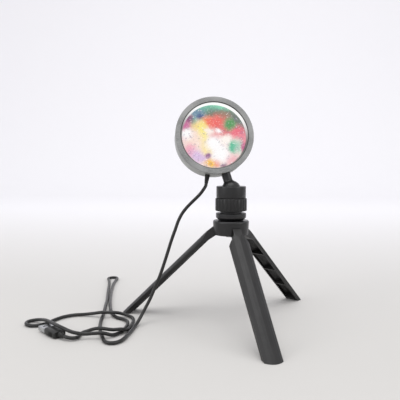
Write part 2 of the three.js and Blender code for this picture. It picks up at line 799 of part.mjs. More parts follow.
// Rear cover: a rounded shoulder, then a taper to a small flat back with the button in its middle.
const coverFront = BARREL_BACK - GAP;
const lipFront = -9;
const coverOuter = [
  [COVER_BACK_RADIUS - 2, COVER_BACK],
  [COVER_BACK_RADIUS, COVER_BACK + 1.4],
  [29.3 + GROWTH, -30],
  [33.7 + GROWTH, -24.5],
  [36.6 + GROWTH, -20.5],
  [38.2 + GROWTH, -17.2],
  [LAMP_RADIUS, coverFront],
];
const coverSkin = solid(
  turnedRing([
    [BUTTON_RADIUS + GAP, COVER_BACK],
    ...coverOuter,
    [skirtOuter, coverFront],
    [skirtOuter, lipFront],
    [skirtInner, lipFront],
    [skirtInner, coverFront - 1.8],
    [34.8 + GROWTH, -19.5],
    [32 + GROWTH, -23.6],
    [27.6 + GROWTH, -29.2],
    [22.9 + GROWTH, -35],
    [21.6 + GROWTH, COVER_BACK + COVER_WALL],
    [BUTTON_RADIUS + GAP, COVER_BACK + COVER_WALL],
  ]),
);
const coverCore = solid(turned([[0, COVER_BACK], ...coverOuter, [0, coverFront]]));
const postFront = sinkBack - GAP;
const wellFloor = postFront - 3.2;
const posts = onScrewCircle(cylinder(4.2, COVER_BACK, postFront)).map((post) =>
  post.intersect(coverCore),
);
const wells = onScrewCircle(cylinder(3, COVER_BACK - 5, wellFloor));
const webHoles = onScrewCircle(cylinder(shankHole, COVER_BACK - 5, 0));
const boardBack = BOARD_FRONT - BOARD_THICKNESS;
const boardScrewX = 17;
const standoffs = [-1, 1].map((side) =>
  solid(cylinder(2.8, COVER_BACK + 1, boardBack - GAP).translate(side * boardScrewX, 0, 0)),
);
const standoffHoles = [-1, 1].map((side) =>
  solid(cylinder(smallShank + GAP, COVER_BACK + 3, 0, 12).translate(side * boardScrewX, 0, 0)),
);
piece(
  "rear_cover",
  cut(join(coverSkin, ...posts, ...standoffs), ...wells, ...webHoles, ...standoffHoles),
  "barrelGrey",
  lampFrame,
);

const headBack = wellFloor - GAP - 1.7;
const driverSlot = solid(block(-4, 4, -0.5, 0.5, headBack - 1, headBack + 0.8));
const screwShape = shapeOf(
  solid(
    turned(
      [
        [0, headBack],
        [2.7, headBack],
        [2.7, wellFloor - GAP],
        [shankRadius, wellFloor - GAP],
        [shankRadius, shankTop],
        [0, shankTop],
      ],
      SMALL_ROUND,
    ),
  ).subtract(driverSlot),
);
around(screwShape.translate(0, REAR_SCREW_CIRCLE, 0), 3).forEach((made, i) =>
  piece("rear_screw_" + (i + 1), made, "steel", lampFrame),
);

const driverBoard = solid(cylinder(BOARD_RADIUS, boardBack, BOARD_FRONT, 32));
piece("driver_board", cut(driverBoard, ...standoffHoles), "board", lampFrame);
[-1, 1].forEach((side, i) => {
  const screw = turned(
    [
      [0, boardBack - 5],
      [smallShank, boardBack - 5],
      [smallShank, BOARD_FRONT + GAP],
      [1.8, BOARD_FRONT + GAP],
      [1.8, BOARD_FRONT + GAP + 1.1],
      [0, BOARD_FRONT + GAP + 1.1],
    ],
    12,
  );
  piece("board_screw_" + (i + 1), screw.translate(side * boardScrewX, 0, 0), "steel", lampFrame);
});

const flangeTop = COVER_BACK + COVER_WALL + GAP + 1;
piece(
  "power_button",
  turned(
    [
      [0, COVER_BACK - BUTTON_STAND],
      [BUTTON_RADIUS - 0.6, COVER_BACK - BUTTON_STAND],
      [BUTTON_RADIUS, COVER_BACK - BUTTON_STAND + 0.6],
      [BUTTON_RADIUS, COVER_BACK + COVER_WALL + GAP],
      [BUTTON_RADIUS + 1.5, COVER_BACK + COVER_WALL + GAP],
      [BUTTON_RADIUS + 1.5, flangeTop],
      [2, flangeTop],
      [2, flangeTop + 1],
      [0, flangeTop + 1],
    ],
    32,
  ),
  "grey",
  lampFrame,
);
const switchBody = solid(block(-3.5, 3.5, -3.5, 3.5, boardBack - GAP - 3.6, boardBack - GAP));
const plunger = solid(cylinder(1.6, boardBack - GAP - 4.7, boardBack - GAP - 1));
piece("switch_body", join(switchBody, plunger), "black", lampFrame);

// ---------------------------------------------------------------- lead and plug

const plugTurn = radians(PLUG_HEADING);
const plugAlong = new THREE.Vector3(Math.cos(plugTurn), Math.sin(plugTurn), 0);
const plugFrame = new THREE.Matrix4()
  .makeRotationZ(plugTurn)
  .setPosition(PLUG_PLACE[0], PLUG_PLACE[1], PLUG_THICKNESS / 2);
const plugBack = -PLUG_LENGTH / 2;
const plugFront = PLUG_LENGTH / 2;

// An outline across the plug, given length along it.
function alongPlug(shape, from, to) {
  const made = new THREE.ExtrudeGeometry(shape, { depth: to - from, bevelEnabled: false });
  return made.rotateY(Math.PI / 2).translate(from, 0, 0);
}

function rounded(width, height, corner) {
  const x = width / 2 - corner;
  const y = height / 2 - corner;
  return shapeFrom([
    ...arc([x, -y], corner, -90, 0, 3),
    ...arc([x, y], corner, 0, 90, 3),
    ...arc([-x, y], corner, 90, 180, 3),
    ...arc([-x, -y], corner, 180, 270, 3),
  ]);
}

piece(
  "plug_body",
  alongPlug(rounded(PLUG_THICKNESS, PLUG_WIDTH, PLUG_CORNER), plugBack, plugFront),
  "black",
  plugFrame,
);
const shellOutline = rounded(SHELL_THICKNESS, SHELL_WIDTH, 0.6);
const shellHole = rounded(SHELL_THICKNESS - 2 * SHELL_WALL, SHELL_WIDTH - 2 * SHELL_WALL, 0.3);
shellOutline.holes.push(new THREE.Path(shellHole.getPoints()));
const shellFrom = plugFront + GAP;
piece(
  "plug_shell",
  alongPlug(shellOutline, shellFrom, shellFrom + SHELL_LENGTH),
  "steel",
  plugFrame,
);
const tongueTop = SHELL_THICKNESS / 2 - SHELL_WALL - GAP;
const tongueHalf = SHELL_WIDTH / 2 - SHELL_WALL - GAP;
piece(
  "plug_tongue",
  block(
    shellFrom,
    shellFrom + SHELL_LENGTH - 0.8,
    -tongueHalf,
    tongueHalf,
    tongueTop - TONGUE_THICKNESS,
    tongueTop,
  ),
  "white",
  plugFrame,
);
const reliefEnd = plugBack - GAP - RELIEF_LENGTH;
piece(
  "plug_relief",
  turned(
    [
      [0, 0],
      [LEAD_RADIUS + 0.4, 0],
      [RELIEF_RADIUS, RELIEF_LENGTH],
      [0, RELIEF_LENGTH],
    ],
    SMALL_ROUND,
  )
    .rotateY(Math.PI / 2)
    .translate(reliefEnd, 0, 0),
  "rubber",
  plugFrame,
);

// The lead leaves the gland straight, hangs to the floor in front of the left leg, and lies there.
const outOfGland = new THREE.Vector3(
  -Math.sin(radians(GLAND_ANGLE)),
  -Math.cos(radians(GLAND_ANGLE)),
  0,
).transformDirection(lampFrame);
const glandTip = new THREE.Vector3(0, 0, GLAND_DEPTH)
  .applyMatrix4(lampFrame)
  .addScaledVector(outOfGland, LAMP_RADIUS + GAP + GLAND_LENGTH + GAP);
const leadEnd = new THREE.Vector3(reliefEnd - GAP, 0, 0).applyMatrix4(plugFrame);

// Points of the hanging part, then of each part on the floor: x, y and height of its middle.
const HANGING = [
  [-27.3, -1.7, 132.9],
  [-30.9, -2.8, 128],
  [-35, -3.2, 123.8],
  [-39.3, -3.5, 119.6],
  [-44.2, -3.8, 114.5],
  [-49, -4.2, 108.1],
  [-52.7, -4.8, 100.6],
  [-55.3, -5.3, 93.1],
  [-59.1, -6.5, 82.4],
  [-62.8, -7.5, 70.4],
  [-66.6, -8.5, 58.4],
  [-70.7, -9.5, 46.4],
  [-74.9, -10.5, 36.4],
  [-79, -11.7, 26.4],
  [-82.8, -13.3, 18.5],
  [-86.3, -15.8, 11.85],
  [-89, -19.8, 6.65],
  [-91, -25.5, 3.15],
  [-92.3, -32.5, 1.85],
];
const TO_HAIRPIN = [
  [-93, -42, 1.75],
  [-94.6, -56, 1.75],
  [-96.2, -66.5, 1.75],
  [-98.4, -72.4, 1.75],
  [-102.5, -76.2, 1.75],
  [-107.7, -76.2, 1.75],
  [-111.8, -72.4, 1.75],
  [-114.6, -66, 1.75],
  [-117.5, -59, 1.75],
  [-122.3, -46, 1.75],
  [-126.4, -31, 1.75],
  [-129.6, -14, 1.75],
  [-132.4, 6, 1.75],
  [-136.8, 32, 1.75],
  [-141.2, 58, 1.75],
  [-148.5, 93, 1.75],
];
const HAIRPIN_BACK = [
  [-155.3, 127, 1.75],
  [-160.4, 149, 1.75],
  [-164.2, 160.4, 1.75],
  [-162.5, 164.9, 1.75],
  [-158.2, 166.8, 1.75],
  [-153.9, 164.9, 1.75],
  [-152.2, 160.4, 1.75],
  [-151.8, 149, 1.75],
  [-149.9, 127, 1.75],
  [-144.5, 93, 1.75],
  [-137.4, 58, 1.75],
  [-131.4, 33, 1.75],
  [-125.8, 14, 1.75],
  [-121.2, 2.8, 1.75],
  [-115.4, -5.2, 1.75],
  [-108, -10, 1.75],
  [-102.8, -16.2, 1.75],
  [-100.6, -25, 1.75],
  [-100.6, -38, 1.75],
  [-103, -49, 1.75],
];
const TO_PLUG = [
  [-108.2, -58, 2.25],
  [-115.3, -62.3, 5.45],
  [-123, -63.4, 5.45],
  [-133, -64.5, 5.05],
  [-142.4, -67.6, 7.65],
  [-150.5, -64.6, 9.55],
  [-161.5, -54.3, 9.55],
  [-171, -43, 8.25],
  [-181.5, -30, 5.85],
  [-189.5, -22, 3.45],
  [-194.3, -19.3, 2.25],
  [-199, -20.6, 1.75],
  [-201.4, -25.6, 1.75],
  [-199.4, -31.6, 1.75],
  [-194.2, -35.2, 1.75],
  [-188.2, -34.6, 1.75],
  [-180.6, -28, 1.75],
  [-176.4, -16.5, 1.75],
  [-170.2, -6, 1.75],
  [-161.5, 0.4, 1.75],
  [-151, 2.4, 2.05],
  [-141, 1, 3.65],
  [-132.5, -1, 5.45],
  [-124, -1.2, 5.55],
  [-116, 1.2, 4.65],
  [-108.3, 2.2, 2.45],
  [-101.2, -2.8, 1.75],
  [-97.2, -12, 1.75],
  [-96.2, -22, 1.75],
  [-96.6, -34, 1.75],
  [-97.6, -44, 2.65],
  [-101.8, -50.8, 5.45],
  [-108.5, -53, 5.55],
  [-121, -50.2, 5.55],
  [-128.6, -47.4, 3.75],
  [-134, -48.4, 2.15],
  [-137.7, -52, 1.75],
  [-138.6, -57.6, 1.75],
  [-138.3, -63.6, 1.85],
  [-139.5, -67.2, 2.25],
  [-141.6, -69.3, 2.65],
  [-144.6, -70, 3.15],
];

const vectors = (points) => points.map(([x, y, z]) => new THREE.Vector3(x, y, z));
const route = new THREE.CatmullRomCurve3(
  [
    glandTip,
    glandTip.clone().addScaledVector(outOfGland, STRAIGHT_END),
    ...vectors([...HANGING, ...TO_HAIRPIN, ...HAIRPIN_BACK, ...TO_PLUG]),
    leadEnd.clone().addScaledVector(plugAlong, -STRAIGHT_END),
    leadEnd,
  ],
  false,
  "centripetal",
);
route.arcLengthDivisions = 4000;
const leadLength = route.getLength();

// Where each part of the lead ends, as shares of its length, and the steps it is drawn with.
const LEAD_PARTS = [
  { name: "lead_hanging", to: 0.181, steps: 20 },
  { name: "lead_floor_1", to: 0.43, steps: 24 },
  { name: "lead_floor_2", to: 0.63, steps: 26 },
  { name: "lead_floor_3", to: 0.82, steps: 28 },
  { name: "lead_floor_4", to: 1, steps: 24 },
];
// One stretch of the route, between two shares of its length.
class Stretch extends THREE.Curve {
  constructor(from, to) {
    super();
    this.from = from;
    this.to = to;
  }

  getPoint(t) {
    return route.getPointAt(this.from + (this.to - this.from) * t);
  }
}

const leadSection = shapeFrom(arc([0, 0], LEAD_RADIUS, 0, 360, 8).slice(0, 8));
let leadFrom = 0;
for (const { name, to, steps } of LEAD_PARTS) {
  const half = GAP / 2 / leadLength;
  const start = leadFrom === 0 ? 0 : leadFrom + half;
  const end = to === 1 ? 1 : to - half;
  const extrudePath = new Stretch(start, end);
  const tube = new THREE.ExtrudeGeometry(leadSection, { steps, extrudePath });
  piece(name, tube, "rubber");
  leadFrom = to;
}

// ---------------------------------------------------------------- footprint to the origin

const LOOSE = /^(lead|plug)_/;
object.updateMatrixWorld(true);
const stands = new THREE.Box3();
for (const mesh of object.children) {
  if (!LOOSE.test(mesh.name)) stands.expandByObject(mesh, true);
}
const middle = stands.getCenter(new THREE.Vector3());
object.position.set(-middle.x, -middle.y, -stands.min.z);

export default object;
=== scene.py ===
# %% [markdown]
# # A colour-light projector lamp on a folding table stand
#
# The lamp is a short grey drum with a lit, many-coloured lens. It leans on a ball head over three
# black moulded legs, and a thin USB lead hangs from it and lies in loose bends on the table.
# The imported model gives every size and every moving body. Here it gets its real surfaces.

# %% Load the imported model
import bpy
import bmesh
import json
import math
from mathutils import Matrix, Vector


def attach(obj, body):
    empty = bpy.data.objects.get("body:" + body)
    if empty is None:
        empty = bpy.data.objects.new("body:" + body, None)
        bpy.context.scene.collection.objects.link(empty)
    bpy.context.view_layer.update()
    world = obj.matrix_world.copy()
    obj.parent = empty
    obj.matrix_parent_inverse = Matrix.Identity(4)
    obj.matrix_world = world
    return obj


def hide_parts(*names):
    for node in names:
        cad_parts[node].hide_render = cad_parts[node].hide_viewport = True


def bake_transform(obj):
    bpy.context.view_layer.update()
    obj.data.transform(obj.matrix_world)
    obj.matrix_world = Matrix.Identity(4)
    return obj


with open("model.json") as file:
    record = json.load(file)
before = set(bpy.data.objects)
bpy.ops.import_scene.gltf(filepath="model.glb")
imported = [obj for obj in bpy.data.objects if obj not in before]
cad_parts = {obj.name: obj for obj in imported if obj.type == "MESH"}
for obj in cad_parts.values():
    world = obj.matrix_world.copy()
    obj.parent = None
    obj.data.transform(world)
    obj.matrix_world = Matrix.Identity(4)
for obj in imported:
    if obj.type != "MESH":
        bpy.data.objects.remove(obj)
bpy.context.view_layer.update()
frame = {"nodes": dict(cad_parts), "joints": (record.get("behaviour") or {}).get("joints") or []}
nodes = frame["nodes"]
joints = {joint["name"]: joint for joint in frame["joints"]}
print("pieces in the model:", len(nodes))

# %% [markdown]
# ## The camera
#
# The lamp is looked at from a little above its lens, from about half a metre away. A camera could
# be aimed with a Track To constraint, but a matrix built from its own right, up and back directions
# is plain to read and can't roll by accident. Its position is given from the stand's upright axis,
# because the whole lamp is arranged round that line.

# %% Camera
MM = 0.001
ball_centre = Vector(joints["ball_tilt"]["pos_m"])
stand = Vector((ball_centre.x, ball_centre.y, 0))


def aimed(place, forward):
    forward = forward.normalized()
    right = forward.cross(Vector((0, 0, 1))).normalized()
    up = right.cross(forward)
    turn = Matrix((right, up, -forward)).transposed().to_4x4()
    return Matrix.Translation(place) @ turn


CAMERA_DOWN = math.radians(4.86)
CAMERA_LEFT = math.radians(3.47)
CAMERA_PLACE = (0, -511.9, 165.6)
CAMERA_LENS = 46.3
view_line = Vector((
    -math.sin(CAMERA_LEFT) * math.cos(CAMERA_DOWN),
    math.cos(CAMERA_LEFT) * math.cos(CAMERA_DOWN),
    -math.sin(CAMERA_DOWN),
))
camera_data = bpy.data.cameras.new("camera")
camera_data.sensor_width = 36
camera_data.lens = CAMERA_LENS
camera_data.clip_start = 0.01
camera = bpy.data.objects.new("camera", camera_data)
camera.matrix_world = aimed(stand + Vector(CAMERA_PLACE) * MM, view_line)
bpy.context.collection.objects.link(camera)
bpy.context.scene.camera = camera
print("camera at", [round(v, 3) for v in camera.matrix_world.translation])

# %% [markdown]
# ## A small kit for materials
#
# Moulded plastic is never one flat colour: its shade drifts slowly, a fine grain catches the light,
# and handling leaves smoother patches. Each finish below is a Principled shader fed by noise at
# several sizes. Painting maps by hand would do it too, but noise in the piece's own coordinates needs
# no unwrapping and stays put when the piece moves.

# %% Material kit


def linear(value):
    return value / 12.92 if value <= 0.04045 else ((value + 0.055) / 1.055) ** 2.4


def shade(text):
    return tuple(linear(int(text[i : i + 2], 16) / 255) for i in (1, 3, 5)) + (1,)


class Finish:
    """A node material that is built up one socket at a time."""

    def __init__(self, name):
        self.material = bpy.data.materials.new(name)
        self.material.use_nodes = True
        self.tree = self.material.node_tree
        self.shader = self.tree.nodes["Principled BSDF"]
        self.place = self.tree.nodes.new("ShaderNodeTexCoord").outputs["Object"]

    def node(self, kind, **settings):
        made = self.tree.nodes.new(kind)
        for key, value in settings.items():
            setattr(made, key, value)
        return made

    def join(self, source, target):
        self.tree.links.new(source, target)

    def set(self, **values):
        for key, value in values.items():
            self.shader.inputs[key.replace("_", " ")].default_value = value
        return self

    def noise(self, scale, detail=4, place=None):
        made = self.node("ShaderNodeTexNoise")
        made.inputs["Scale"].default_value = scale
        made.inputs["Detail"].default_value = detail
        self.join(place or self.place, made.inputs["Vector"])
        return made.outputs["Fac"]

    def spread(self, value, low, high, out_low, out_high, smooth=False):
        made = self.node("ShaderNodeMapRange")
        made.interpolation_type = "SMOOTHSTEP" if smooth else "LINEAR"
        self.join(value, made.inputs["Value"])
        sockets = ("From Min", "From Max", "To Min", "To Max")
        for socket, number in zip(sockets, (low, high, out_low, out_high)):
            made.inputs[socket].default_value = number
        return made.outputs["Result"]

    def mix(self, factor, first, second):
        made = self.node("ShaderNodeMix", data_type="RGBA")
        for socket, value in ((0, factor), (6, first), (7, second)):
            if hasattr(value, "links"):
                self.join(value, made.inputs[socket])
            else:
                made.inputs[socket].default_value = value
        return made.outputs[2]

    def bump(self, height, strength, distance):
        made = self.node("ShaderNodeBump")
        made.inputs["Strength"].default_value = strength
        made.inputs["Distance"].default_value = distance
        self.join(height, made.inputs["Height"])
        previous = self.shader.inputs["Normal"]
        if previous.is_linked:
            self.join(previous.links[0].from_socket, made.inputs["Normal"])
        self.join(made.outputs["Normal"], previous)
        return self

    def colour(self, socket):
        self.join(socket, self.shader.inputs["Base Color"])
        return self

    def roughness(self, socket):
        self.join(socket, self.shader.inputs["Roughness"])
        return self


def moulded(name, dark, light, rough, grain=2600, dents=0.25, specks=0.35):
    """Moulded plastic: slow shade drift, fine grain, and smoother handled patches."""
    made = Finish(name)
    drift = made.spread(made.noise(34), 0.35, 0.65, 0, 1, True)
    speck = made.spread(made.noise(900, 2), 0.5, 0.72, 0, specks)
    shade_mix = made.mix(drift, shade(dark), shade(light))
    made.colour(made.mix(speck, shade_mix, shade(light)))
    made.roughness(made.spread(made.noise(60, 3), 0.3, 0.7, rough - 0.07, rough + 0.07))
    made.bump(made.noise(grain, 3), dents, 0.00004)
    made.bump(made.noise(120, 2), 0.08, 0.0004)
    return made.set(IOR=1.48)


print("kit ready")

# %% [markdown]
# ## The plastics and metals
#
# The legs are a slightly rough black moulding; the hub and ball head are a closer, satin black; the
# drum is a neutral mid grey. The lead has its own softer black. Screws and the plug's shell are
# plated steel with fine drawn lines, made by squeezing a noise along one axis.

# %% Plastics and rubber
leg_black = moulded("leg_black", "#0b0a0a", "#171616", 0.42).material
satin_black = moulded("satin_black", "#101011", "#1c1c1e", 0.36, grain=3400, dents=0.16).material
ring_black = moulded("ring_black", "#0d0d0e", "#181819", 0.46).material
bezel_grey = moulded(
    "bezel_grey", "#787978", "#989998", 0.5, grain=3000, dents=0.5, specks=0.9
).material
barrel_grey = moulded("barrel_grey", "#8f918f", "#9fa19f", 0.42, grain=3000).material
painted_shade_grey = moulded("painted_shade_grey", "#3c3e3c", "#4b4d4b", 0.55).material
white_plastic = moulded("white_plastic", "#d9d9d5", "#efefeb", 0.4, dents=0.1).material
plug_black = moulded("plug_black", "#121211", "#21211f", 0.45, grain=2200).material
lead_black = moulded("lead_black", "#10100f", "#1c1c1b", 0.38, grain=1800, dents=0.2).material
rubber_black = moulded("rubber_black", "#121212", "#1e1e1e", 0.68).material
print("plastics ready")

# %% Metals and boards


def drawn_metal(name, base, rough, squeeze):
    """Drawn or turned metal: long fine lines made by squeezing a noise."""
    made = Finish(name)
    stretch = made.node("ShaderNodeMapping")
    stretch.inputs["Scale"].default_value = squeeze
    made.join(made.place, stretch.inputs["Vector"])
    lines = made.noise(500, 5, stretch.outputs["Vector"])
    tarnish = made.spread(made.noise(90), 0.4, 0.7, 0, 0.35, True)
    darker = tuple(c * 0.72 for c in shade(base)[:3]) + (1,)
    made.colour(made.mix(tarnish, shade(base), darker))
    made.roughness(made.spread(lines, 0.3, 0.7, rough - 0.08, rough + 0.1))
    made.bump(lines, 0.12, 0.00003)
    return made.set(Metallic=1.0)


plated_steel = drawn_metal("plated_steel", "#b9bbbd", 0.28, (1, 1, 9)).material
turned_brass = drawn_metal("turned_brass", "#b8974e", 0.33, (1, 9, 1)).material
cast_aluminium = drawn_metal("cast_aluminium", "#c0c2c4", 0.42, (1, 2, 1)).material
board_green = moulded("board_green", "#1d4a2e", "#2c6640", 0.4, grain=1500).material
phosphor = moulded("phosphor", "#e8d27a", "#f6eaa6", 0.35).material
clear_optic = Finish("clear_optic").set(
    Roughness=0.05, IOR=1.49, Transmission_Weight=0.9, Base_Color=shade("#e4ebef")
)
clear_optic.bump(clear_optic.noise(300, 2), 0.05, 0.0002)
clear_optic = clear_optic.material
print("metals ready")

# %% [markdown]
# ## The lead
#
# The lead is 3.3 mm thick. It leaves the drum through a short tapered gland, hangs in front of the
# left leg, touches down, and then doubles back on itself: a long narrow hairpin, a curl, a pass over
# the plug and a small loop beyond it. A Bezier curve object could carry it; instead one smooth line
# is laid through a list of set points, and round tubes are swept along stretches of it.

# %% Route of the lead
lean_line = Vector(joints["lamp_turn"]["axis"]).normalized()
lamp_axis = Vector(joints["power_button_press"]["axis"]).normalized()
lamp_right = lean_line.cross(lamp_axis).normalized()
LAMP_RADIUS = 38.7
STEM_SHOULDER = 17.9
STEM_GAP = 0.3
lamp_centre = ball_centre + lean_line * (STEM_SHOULDER + STEM_GAP + LAMP_RADIUS) * MM
lamp_frame = Matrix((lamp_right, lean_line, lamp_axis)).transposed().to_4x4()
lamp_frame.translation = lamp_centre

GLAND_ANGLE = math.radians(26.5)
GLAND_BACK = 4
GLAND_REACH = 47.6
gland_line = -lamp_right * math.sin(GLAND_ANGLE) - lean_line * math.cos(GLAND_ANGLE)
out_of_gland = gland_line.normalized()
gland_tip = lamp_centre - lamp_axis * GLAND_BACK * MM + out_of_gland * GLAND_REACH * MM

PLUG_TURN = math.radians(138)
PLUG_PLACE = (-162, -56.5, 3.5)
RELIEF_END = -15.6
plug_along = Vector((math.cos(PLUG_TURN), math.sin(PLUG_TURN), 0))
plug_frame = Matrix.Rotation(PLUG_TURN, 4, "Z")
plug_frame.translation = stand + Vector(PLUG_PLACE) * MM
lead_end = plug_frame @ Vector((RELIEF_END * MM, 0, 0))

HANGING = [
    (-27.3, -1.7, 132.9), (-30.9, -2.8, 128), (-35, -3.2, 123.8), (-39.3, -3.5, 119.6),
    (-44.2, -3.8, 114.5), (-49, -4.2, 108.1), (-52.7, -4.8, 100.6), (-55.3, -5.3, 93.1),
    (-59.1, -6.5, 82.4), (-62.8, -7.5, 70.4), (-66.6, -8.5, 58.4), (-70.7, -9.5, 46.4),
    (-74.9, -10.5, 36.4), (-79, -11.7, 26.4), (-82.8, -13.3, 18.5), (-86.3, -15.8, 11.85),
    (-89, -19.8, 6.65), (-91, -25.5, 3.15), (-92.3, -32.5, 1.85),
]
TO_HAIRPIN = [
    (-93, -42, 1.75), (-94.6, -56, 1.75), (-96.2, -66.5, 1.75), (-98.4, -72.4, 1.75),
    (-102.5, -76.2, 1.75), (-107.7, -76.2, 1.75), (-111.8, -72.4, 1.75), (-114.6, -66, 1.75),
    (-117.5, -59, 1.75), (-122.3, -46, 1.75), (-126.4, -31, 1.75), (-129.6, -14, 1.75),
    (-132.4, 6, 1.75), (-136.8, 32, 1.75), (-141.2, 58, 1.75), (-148.5, 93, 1.75),
]
HAIRPIN_BACK = [
    (-155.3, 127, 1.75), (-160.4, 149, 1.75), (-164.2, 160.4, 1.75), (-162.5, 164.9, 1.75),
    (-158.2, 166.8, 1.75), (-153.9, 164.9, 1.75), (-152.2, 160.4, 1.75), (-151.8, 149, 1.75),
    (-149.9, 127, 1.75), (-144.5, 93, 1.75), (-137.4, 58, 1.75), (-131.4, 33, 1.75),
    (-125.8, 14, 1.75), (-121.2, 2.8, 1.75), (-115.4, -5.2, 1.75), (-108, -10, 1.75),
    (-102.8, -16.2, 1.75), (-100.6, -25, 1.75), (-100.6, -38, 1.75), (-103, -49, 1.75),
]
TO_PLUG = [
    (-108.2, -58, 2.25), (-115.3, -62.3, 5.45), (-123, -63.4, 5.45), (-133, -64.5, 5.05),
    (-142.4, -67.6, 7.65), (-150.5, -64.6, 9.55), (-161.5, -54.3, 9.55), (-171, -43, 8.25),
    (-181.5, -30, 5.85), (-189.5, -22, 3.45), (-194.3, -19.3, 2.25), (-199, -20.6, 1.75),
    (-201.4, -25.6, 1.75), (-199.4, -31.6, 1.75), (-194.2, -35.2, 1.75), (-188.2, -34.6, 1.75),
    (-180.6, -28, 1.75), (-176.4, -16.5, 1.75), (-170.2, -6, 1.75), (-161.5, 0.4, 1.75),
    (-151, 2.4, 2.05), (-141, 1, 3.65), (-132.5, -1, 5.45), (-124, -1.2, 5.55), (-116, 1.2, 4.65),
    (-108.3, 2.2, 2.45), (-101.2, -2.8, 1.75), (-97.2, -12, 1.75), (-96.2, -22, 1.75),
    (-96.6, -34, 1.75), (-97.6, -44, 2.65), (-101.8, -50.8, 5.45), (-108.5, -53, 5.55),
    (-121, -50.2, 5.55), (-128.6, -47.4, 3.75), (-134, -48.4, 2.15), (-137.7, -52, 1.75),
    (-138.6, -57.6, 1.75), (-138.3, -63.6, 1.85), (-139.5, -67.2, 2.25), (-141.6, -69.3, 2.65),
    (-144.6, -70, 3.15),
]
STRAIGHT = 2.4 * MM
route_points = [gland_tip, gland_tip + out_of_gland * STRAIGHT]
route_points += [stand + Vector(p) * MM for p in HANGING + TO_HAIRPIN + HAIRPIN_BACK + TO_PLUG]
route_points += [lead_end - plug_along * STRAIGHT, lead_end]
print("route points:", len(route_points))

# %% [markdown]
# ## One smooth line
#
# A lead has no corners, so the line through its points has to turn steadily from one to the next. A
# plain polyline would kink, and a Bezier needs two handles set for every point. A centripetal
# Catmull-Rom line works out its own direction at each point, and it doesn't loop or overshoot where
# points lie close together.

# %% One smooth line through the points


def smooth_line(points, steps=14):
    """A centripetal Catmull-Rom line through the points, finely divided."""
    padded = [points[0] * 2 - points[1], *points, points[-1] * 2 - points[-2]]
    line = []
    for a, b, c, d in zip(padded, padded[1:], padded[2:], padded[3:]):
        ab, bc, cd = (max((q - p).length, 1e-7) ** 0.5 for p, q in ((a, b), (b, c), (c, d)))
        leave = ((b - a) / ab - (c - a) / (ab + bc) + (c - b) / bc) * bc
        arrive = ((c - b) / bc - (d - b) / (bc + cd) + (d - c) / cd) * bc
        for i in range(steps):
            t = i / steps
            line.append(
                b * (2 * t**3 - 3 * t**2 + 1) + leave * (t**3 - 2 * t**2 + t)
                + c * (-2 * t**3 + 3 * t**2) + arrive * (t**3 - t**2)
            )
    return line + [points[-1]]


def measured(line):
    """How far along the line each of its points lies."""
    far = [0.0]
    for p, q in zip(line, line[1:]):
        far.append(far[-1] + (q - p).length)
    return far


lead_line = smooth_line(route_points)
lead_far = measured(lead_line)
lead_length = lead_far[-1]


def stretch(start, end, step=0.0022):
    """Evenly spaced points of the lead between two distances along it."""
    count = max(int((end - start) / step), 2)
    found = []
    i = 0
    for k in range(count + 1):
        want = start + (end - start) * k / count
        while i < len(lead_far) - 2 and lead_far[i + 1] < want:
            i += 1
        part = (want - lead_far[i]) / (lead_far[i + 1] - lead_far[i])
        found.append(lead_line[i].lerp(lead_line[i + 1], min(max(part, 0), 1)))
    return found


print("lead length", round(lead_length, 3), "m")

# %% [markdown]
# ## The hanging part
#
# The first stretch of the lead is held by the lamp at one end and lies on the table at the other. It
# is cut into three tubes, one for each joint that it passes.

# %% Tubes along the lead


def finished(name, mesh_builder, material, angle=35):
    """A new piece from mesh code, smooth except across its real edges."""
    mesh = bpy.data.meshes.new(name)
    mesh_builder.normal_update()
    mesh_builder.to_mesh(mesh)
    mesh_builder.free()
    piece = bpy.data.objects.new(name, mesh)
    bpy.context.collection.objects.link(piece)
    mesh.materials.append(material)
    smooth(piece, angle)
    return piece


def smooth(piece, angle=35):
    piece.data.polygons.foreach_set("use_smooth", [True] * len(piece.data.polygons))
    piece.data.set_sharp_from_angle(angle=math.radians(angle))


def bridge(builder, low, high):
    """Faces between two rings of points, where a ring may be a single point."""
    count = max(len(low), len(high))
    for k in range(count):
        n = (k + 1) % count
        corners = [
            low[k % len(low)], low[n % len(low)], high[n % len(high)], high[k % len(high)],
        ]
        unique = [v for i, v in enumerate(corners) if v not in corners[:i]]
        if len(unique) > 2:
            builder.faces.new(unique)


def swept(name, path, radius, material, sides=16):
    """A closed round tube along a path, turned as little as possible from ring to ring."""
    builder = bmesh.new()
    across = None
    rings = []
    for i, point in enumerate(path):
        ahead = (path[min(i + 1, len(path) - 1)] - path[max(i - 1, 0)]).normalized()
        if across is None:
            across = ahead.orthogonal().normalized()
        across = (across - ahead * across.dot(ahead)).normalized()
        side = ahead.cross(across)
        rings.append([
            builder.verts.new(
                point + (across * math.cos(a) + side * math.sin(a)) * radius
            )
            for a in (2 * math.pi * k / sides for k in range(sides))
        ])
    for low, high in zip(rings, rings[1:]):
        bridge(builder, low, high)
    builder.faces.new(list(reversed(rings[0])))
    builder.faces.new(rings[-1])
    return finished(name, builder, material, 50)


LEAD_RADIUS = 1.65 * MM
CUTS = [0, 0.048, 0.098, 0.178]
LINKS = [("lamp", "ball_stud"), ("ball_stud", "ball_base"), ("ball_base", "tripod")]
LEAD_NAMES = ["lead_top", "lead_middle", "lead_low"]
for name, start, end, (upper, lower) in zip(LEAD_NAMES, CUTS, CUTS[1:], LINKS):
    path = stretch(start, end)
    tube = swept(name, path, LEAD_RADIUS, lead_black)
    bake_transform(tube)
    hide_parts("lead_hanging")
print("hanging pieces:", LEAD_NAMES)

